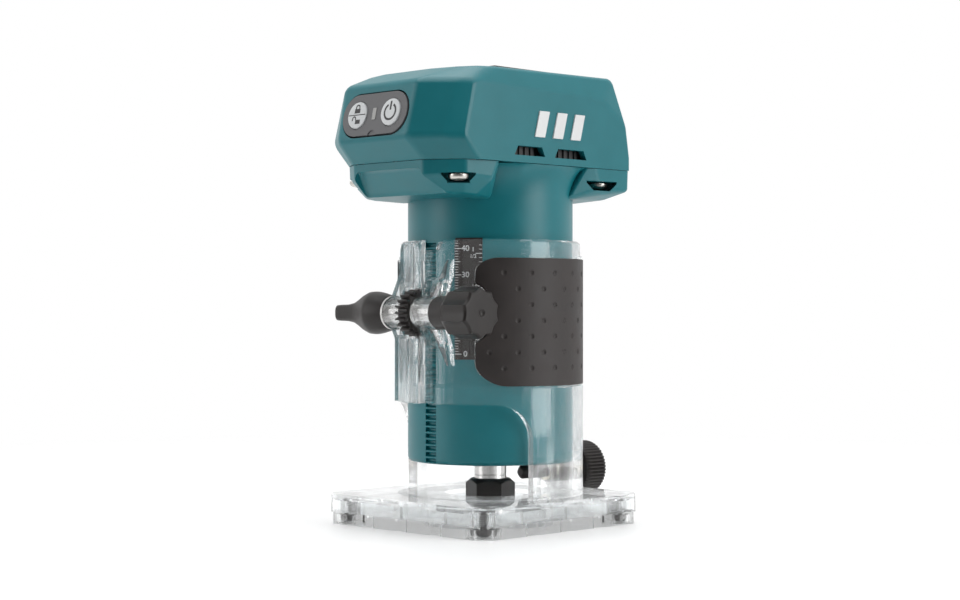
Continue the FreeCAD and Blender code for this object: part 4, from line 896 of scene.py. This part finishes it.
def make_vent_screens():
    """Dark ribbed screens behind the side vents."""
    parts = []
    for side in (-1, 1):
        for k in range(14):
            y = -23.0 + 3.1 * k
            low, high = sorted((side * 31.2, side * 31.9))
            parts.append(block("rib", (low, high), (y, y + 1.5), (141.0, 146.0)))
        low, high = sorted((side * 30.6, side * 31.3))
        parts.append(block("plate", (low, high), (-24.0, 19.0), (140.4, 146.6)))
    return shade(joined("vent_screens", parts), 30, False)


def make_badges():
    """Three slanted bars on each side wall."""
    bars = []
    for side in (-1, 1):
        for y in (-12.0, -2.0, 8.0):
            points = []
            for z, shift in ((149.0, 0.0), (159.0, 3.0)):
                wall = 35.3 - (z - 147.0) * 0.5 / 19
                for edge in (0.0, 5.5):
                    for out in (-0.25, 0.55):
                        points.append((side * (wall + out), y + shift + edge, z))
            bars.append(hull("bar", points))
    return soften(joined("badge_bars", bars), 0.18, 2, 40)


def make_panel():
    """Grey panel plate with button wells, light slot and thumb notch."""
    outline = rounded([(17.6, 8.1, 7.7), (-17.6, 8.1, 7.7), (-17.6, -8.1, 7.7), (17.6, -8.1, 7.7)], 16)
    plate = slab("panel_plate", outline, -1.7, 0.5, PANEL_PLACE)
    for x in (-KEY_X, KEY_X):
        cut(plate, slab("well", circle(5.45, 64, x), -4, 4, PANEL_PLACE))
    cut(plate, slab("light_slot", rectangle(-1.0, 1.0, -2.3, 2.3), -4, 4, PANEL_PLACE),
        slab("thumb_notch", circle(2.1, 40, 0, -8.4), 0.05, 4, PANEL_PLACE))
    return soften(plate, 0.22, 3, 40)


def circle(r, steps, x=0.0, y=0.0):
    """Points of a circle."""
    turns = [2 * math.pi * i / steps for i in range(steps)]
    return [(x + r * math.cos(t), y + r * math.sin(t)) for t in turns]


def arc_strip(r, width, start, end, x=0.0, y=0.0, steps=32):
    """Bent strip as a polygon, from one angle to another in degrees."""
    turns = [math.radians(start + (end - start) * i / steps) for i in range(steps + 1)]
    outer = [(x + (r + width / 2) * math.cos(t), y + (r + width / 2) * math.sin(t)) for t in turns]
    inner = [(x + (r - width / 2) * math.cos(t), y + (r - width / 2) * math.sin(t)) for t in turns]
    return outer + inner[::-1]


def rectangle(x0, x1, y0, y1):
    """Corners of a rectangle."""
    return [(x0, y0), (x1, y0), (x1, y1), (x0, y1)]


def make_button(name, x):
    """Round push button with a softly crowned face."""
    profile = [(0, -2.2), (5.2, -2.2), (5.2, 0.65), (5.05, 0.92), (4.7, 1.04), (3.5, 1.08), (2.0, 1.1),
               (0, 1.1)]
    centre = PANEL_PLACE @ Vector((x, 0, 0))
    return shade(lathe(name, profile, 96, PANEL_OUT, centre), 40)


def make_icon(name, outlines, x):
    """Thin printed symbol on a button face."""
    parts = [slab("mark", [(x + u, v) for u, v in outline], 1.0, 1.13, PANEL_PLACE) for outline in outlines]
    return shade(joined(name, parts), 30, False)


def power_marks():
    """Ring with a gap at the top, and a short upright bar."""
    return [arc_strip(2.95, 0.8, 118, 422), rectangle(-0.42, 0.42, 0.7, 4.1)]


def lock_marks():
    """Shut padlock above a dividing line, open padlock below it."""
    shut = [rectangle(-1.5, 1.5, 0.7, 2.4), arc_strip(0.95, 0.5, 0, 180, 0, 2.9, 16),
            rectangle(-1.2, -0.7, 2.4, 2.95), rectangle(0.7, 1.2, 2.4, 2.95)]
    line = [rectangle(-4.6, 4.6, -0.17, 0.17)]
    ajar = [rectangle(-0.4, 2.2, -3.5, -1.9), arc_strip(0.85, 0.5, 0, 180, -1.25, -1.5, 16),
            rectangle(-2.35, -1.85, -2.2, -1.5), rectangle(-0.65, -0.15, -1.9, -1.5)]
    return shut + line + ajar


def make_deck():
    """Black battery channel with inward lips, open at the rear."""
    deck = block("battery_bay", (-27.0, 27.0), (-25.0, 41.0), (163.5, 175.6))
    cut(deck, block("channel", (-24.4, 24.4), (-22.4, 60), (BAY_FLOOR, 172.4)),
        block("mouth", (-21.5, 21.5), (-22.4, 60), (BAY_FLOOR, 190)))
    lean = ((41.5, 156), (36.2, 176.5), (60, 176.5), (60, 156))
    cut(deck, hull("lean", [(side * 40, y, z) for side in (-1, 1) for y, z in lean]))
    return soften(deck, 0.4, 2, 40)


def make_block():
    """Terminal block slotted for the blades."""
    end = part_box("terminal_block")[1] / M
    body = block("terminal_body", (-15.0, 15.0), (-22.0, end.y), (BAY_FLOOR, end.z))
    for x in (-11.0, -5.5, 0.0, 5.5, 11.0):
        cut(body, block("slot", (x - 0.9, x + 0.9), (-19.0, 60), (167.0, 190)))
    return soften(body, 0.3, 2, 40)


def make_dial():
    """Speed wheel with a knurled rim."""
    sides = [(7.6, -3.0, 0), (9.0, -3.0, 0), (9.35, -2.7, 0.6), (9.5, -2.3, 1), (9.5, 2.3, 1),
             (9.35, 2.7, 0.6), (9.0, 3.0, 0), (7.6, 3.0, 0), (1.6, 2.9, 0)]
    wheel = lobed("speed_wheel", sides, 36, 0.5, X, (0, DIAL_Y, DIAL_Z), 0.8, 288)
    cut(wheel, rod("axle", 1.55, (-9, DIAL_Y, DIAL_Z), (9, DIAL_Y, DIAL_Z)))
    return shade(wheel, 40)


def pan_screw(r, x, y, foot, crown, shank_top, recess):
    """M4 pan-head screw seen from below, with a cross recess and a threaded shank."""
    shank_r, pitch = 2.0, 0.7
    high = crown - foot
    profile = [(0, foot), (r * 0.45, foot + 0.02), (r * 0.72, foot + high * 0.10),
               (r * 0.9, foot + high * 0.3), (r, foot + high * 0.6), (r, crown), (shank_r, crown)]
    h = crown + 0.2
    while h + pitch < shank_top:
        profile += [(shank_r, h), (shank_r - 0.25, h + pitch / 2)]
        h += pitch
    profile += [(shank_r, shank_top), (0, shank_top)]
    screw = lathe("screw", profile, 64, start=(x, y, 0))
    for wide, deep in ((recess, 0.5), (0.5, recess)):
        tip = [(x + sx * wide * 0.35, y + sy * deep * 0.35, foot + 1.5) for sx in (-1, 1) for sy in (-1, 1)]
        mouth = [(x + sx * wide, y + sy * deep, foot - 0.5) for sx in (-1, 1) for sy in (-1, 1)]
        cut(screw, hull("recess", tip + mouth))
    return screw


def screw_set(name, places, r, foot, crown, shank_top, recess):
    """Equal pan-head screws at several places, as one piece."""
    screws = [pan_screw(r, x, y, foot, crown, shank_top, recess) for x, y in places]
    return soften(joined(name, screws), 0)


def tick(angle, length, z):
    """Raised line of the depth scale."""
    r = BARREL_R + 0.02
    half = 0.13 if length > 1.6 else 0.09
    turn = math.degrees(length / BARREL_R)
    return band("tick", [(angle + turn * k / 3, z - half, z + half) for k in range(4)], r - 0.06, r)


def make_scale_marks():
    """Millimetre ticks on the left edge of the depth scale and sixteenths of an inch on the right."""
    parts = []
    for k in range(43):
        length = 2.6 if k % 10 == 0 else 2.0 if k % 5 == 0 else 1.3
        parts.append(tick(SCALE_FROM + 0.3, length, SCALE_ZERO + k))
    for k in range(27):
        length = 2.4 if k % 8 == 0 else 1.8 if k % 4 == 0 else 1.1
        reach = math.degrees(length / BARREL_R)
        parts.append(tick(SCALE_TO - 0.3 - reach, length, SCALE_ZERO + k * INCH / 16))
    return joined("scale_ticks", parts)


def number(text, angle, z, size):
    """Numeral bent onto the barrel, reading left to right."""
    curve = bpy.data.curves.new("numeral", "FONT")
    curve.body = text
    curve.size = size
    curve.align_x = "CENTER"
    curve.align_y = "CENTER"
    curve.extrude = 0.04
    source = linked("numeral", curve)
    graph = bpy.context.evaluated_depsgraph_get()
    mesh = bpy.data.meshes.new_from_object(source.evaluated_get(graph))
    bpy.data.objects.remove(source)
    for v in mesh.vertices:
        spot = from_front(BARREL_R + v.co.z, angle + math.degrees(v.co.x / BARREL_R), z + v.co.y)
        v.co = spot * M
    return linked("numeral", mesh)


def make_numerals():
    """Numbers 0 to 40 beside the millimetre ticks, and 1 and 1 1/2 beside the inch ticks."""
    marks = [number(str(10 * k), SCALE_FROM + 7.6, SCALE_ZERO + 10 * k, 3.0) for k in range(5)]
    for text, rise, size in (("1", INCH, 2.8), ("1", 39.6, 2.4), ("1/2", 37.0, 2.0)):
        marks.append(number(text, SCALE_TO - 6.2, SCALE_ZERO + rise, size))
    return joined("scale_numerals", marks)


stand_for(make_housing(), "motor_housing")
stand_for(make_head(), "head_cover")
stand_for(make_badges(), "side_badges")
stand_for(make_panel(), "control_panel")
stand_for(make_button("lock_key", -KEY_X), "lock_button")
stand_for(make_button("power_key", KEY_X), "power_button")
stand_for(make_deck(), "battery_deck")
stand_for(make_block(), "terminal_block")
stand_for(make_dial(), "speed_dial")
stand_for(screw_set("sole_screws", SCREWS, 4.4, 0.5, 3.5, 9.5, 2.1), "base_screws")
stand_for(screw_set("head_fasteners", HEAD_SCREWS, 3.8, 131.3, 133.5, 146.0, 1.8), "head_screws")
added(make_icon("lock_symbols", lock_marks(), -KEY_X), "deck_black", "lock_button")
added(make_icon("power_symbol", power_marks(), KEY_X), "deck_black", "power_button")
added(make_vent_screens(), "deck_black", "motor_unit")
added(make_scale_marks(), "badge_white", "motor_unit")
added(make_numerals(), "badge_white", "motor_unit")

# ---------------------------------------------------------------- stage, light and camera

VIEW_AZIMUTH = 45.0
VIEW_DISTANCE = 744.0
VIEW_HEIGHT = 83.6
VIEW_SIDE = -4.07
LENS = 70.6125
SENSOR = 36.0
SHIFT_Y = 1 / 96
TENT_TURN = 8.0
FLOOR_R = 900.0
FADE_FROM_M, FADE_TO_M = 0.12, 0.55
CENTRE_M = (0, 0, 0.09)
TOWARD = Vector((math.sin(math.radians(VIEW_AZIMUTH)), -math.cos(math.radians(VIEW_AZIMUTH)), 0))
RIGHTWARD = Vector((math.cos(math.radians(VIEW_AZIMUTH)), math.sin(math.radians(VIEW_AZIMUTH)), 0))


def area_light(name, place, width, height, power):
    """White soft box, in metres and watts, that faces the middle of the tool."""
    lamp = bpy.data.lights.new(name, "AREA")
    lamp.shape = "RECTANGLE"
    lamp.size = width
    lamp.size_y = height
    lamp.energy = power
    obj = linked(name, lamp)
    obj.location = place
    obj.rotation_euler = (Vector(CENTRE_M) - Vector(place)).to_track_quat("-Z", "Y").to_euler()


def make_stage():
    """White round floor that fades into the surroundings."""
    bm = bmesh.new()
    bmesh.ops.create_circle(bm, cap_ends=True, segments=96, radius=FLOOR_R)
    floor = new_piece("floor", bm)
    paint = material("floor_white", (0.90, 0.90, 0.90), 0.42, 0.0, 40.0, 0.01, 0.0, 0.0,
                     Emission_Color=(1, 1, 1, 1), Emission_Strength=0.05)
    tree = paint.node_tree
    node, link = tree.nodes.new, tree.links.new
    shader = tree.nodes["Principled BSDF"]
    place = node("ShaderNodeTexCoord")
    span = node("ShaderNodeVectorMath")
    span.operation = "LENGTH"
    fade = node("ShaderNodeMapRange")
    fade.interpolation_type = "SMOOTHSTEP"
    fade.inputs["From Min"].default_value = FADE_FROM_M
    fade.inputs["From Max"].default_value = FADE_TO_M
    fade.inputs["To Min"].default_value = 1.0
    fade.inputs["To Max"].default_value = 0.0
    link(place.outputs["Object"], span.inputs[0])
    link(span.outputs["Value"], fade.inputs["Value"])
    link(fade.outputs["Result"], shader.inputs["Alpha"])
    floor.data.materials.append(paint)


def make_world():
    """Light tent: white behind the tool, greyer above and at the sides, dim toward the camera.

    The camera itself sees plain white, and rays that have passed through clear parts see nearly that.
    """
    world = bpy.data.worlds.new("studio")
    world.use_nodes = True
    tree = world.node_tree
    node, link = tree.nodes.new, tree.links.new
    place = node("ShaderNodeTexCoord")
    facing = node("ShaderNodeVectorMath")
    facing.operation = "DOT_PRODUCT"
    facing.inputs[1].default_value = Matrix.Rotation(math.radians(TENT_TURN), 3, "Z") @ TOWARD
    link(place.outputs["Generated"], facing.inputs[0])
    ramp = node("ShaderNodeValToRGB")
    levels = ((0.0, 1.0), (0.45, 0.85), (0.62, 0.55), (0.80, 0.16), (1.0, 0.06))
    spread = node("ShaderNodeMapRange")
    spread.inputs["From Min"].default_value = -1.0
    spread.inputs["From Max"].default_value = 1.0
    link(facing.outputs["Value"], spread.inputs["Value"])
    stops = ramp.color_ramp.elements
    while len(stops) < len(levels):
        stops.new(0.5)
    for stop, (position, level) in zip(stops, levels):
        stop.position = position
        stop.color = (level, level, level, 1)
    link(spread.outputs["Result"], ramp.inputs["Fac"])
    path = node("ShaderNodeLightPath")
    through = node("ShaderNodeMath")
    through.operation = "SUBTRACT"
    through.use_clamp = True
    link(path.outputs["Transmission Depth"], through.inputs[0])
    link(path.outputs["Is Diffuse Ray"], through.inputs[1])
    clear = node("ShaderNodeMix")
    clear.data_type = "RGBA"
    clear.inputs[7].default_value = (0.95, 0.95, 0.95, 1)
    link(through.outputs["Value"], clear.inputs[0])
    link(ramp.outputs["Color"], clear.inputs[6])
    pick = node("ShaderNodeMix")
    pick.data_type = "RGBA"
    pick.inputs[7].default_value = (1, 1, 1, 1)
    link(path.outputs["Is Camera Ray"], pick.inputs[0])
    link(clear.outputs[2], pick.inputs[6])
    background = tree.nodes["Background"]
    background.inputs["Strength"].default_value = 1.0
    link(pick.outputs[2], background.inputs["Color"])
    bpy.context.scene.world = world


def make_camera():
    """Level camera at the height of the sleeve, off the front right corner."""
    camera = bpy.data.cameras.new("camera")
    camera.sensor_width = SENSOR
    camera.lens = LENS
    camera.shift_y = SHIFT_Y
    camera.clip_start = 0.01
    camera.clip_end = 50.0
    obj = linked("camera", camera)
    obj.location = (TOWARD * VIEW_DISTANCE + RIGHTWARD * VIEW_SIDE + Z * VIEW_HEIGHT) * M
    obj.rotation_euler = (-TOWARD).to_track_quat("-Z", "Y").to_euler()
    bpy.context.scene.camera = obj


make_stage()
make_world()
make_camera()
area_light("left_box", (-0.55, -0.95, 0.35), 0.5, 0.8, 3.0)
area_light("right_box", (0.95, 0.35, 0.35), 0.5, 0.8, 6.0)
area_light("top_box", (0.0, 0.0, 1.0), 0.9, 0.9, 7.0)

bpy.context.scene.view_settings.view_transform = "Standard"
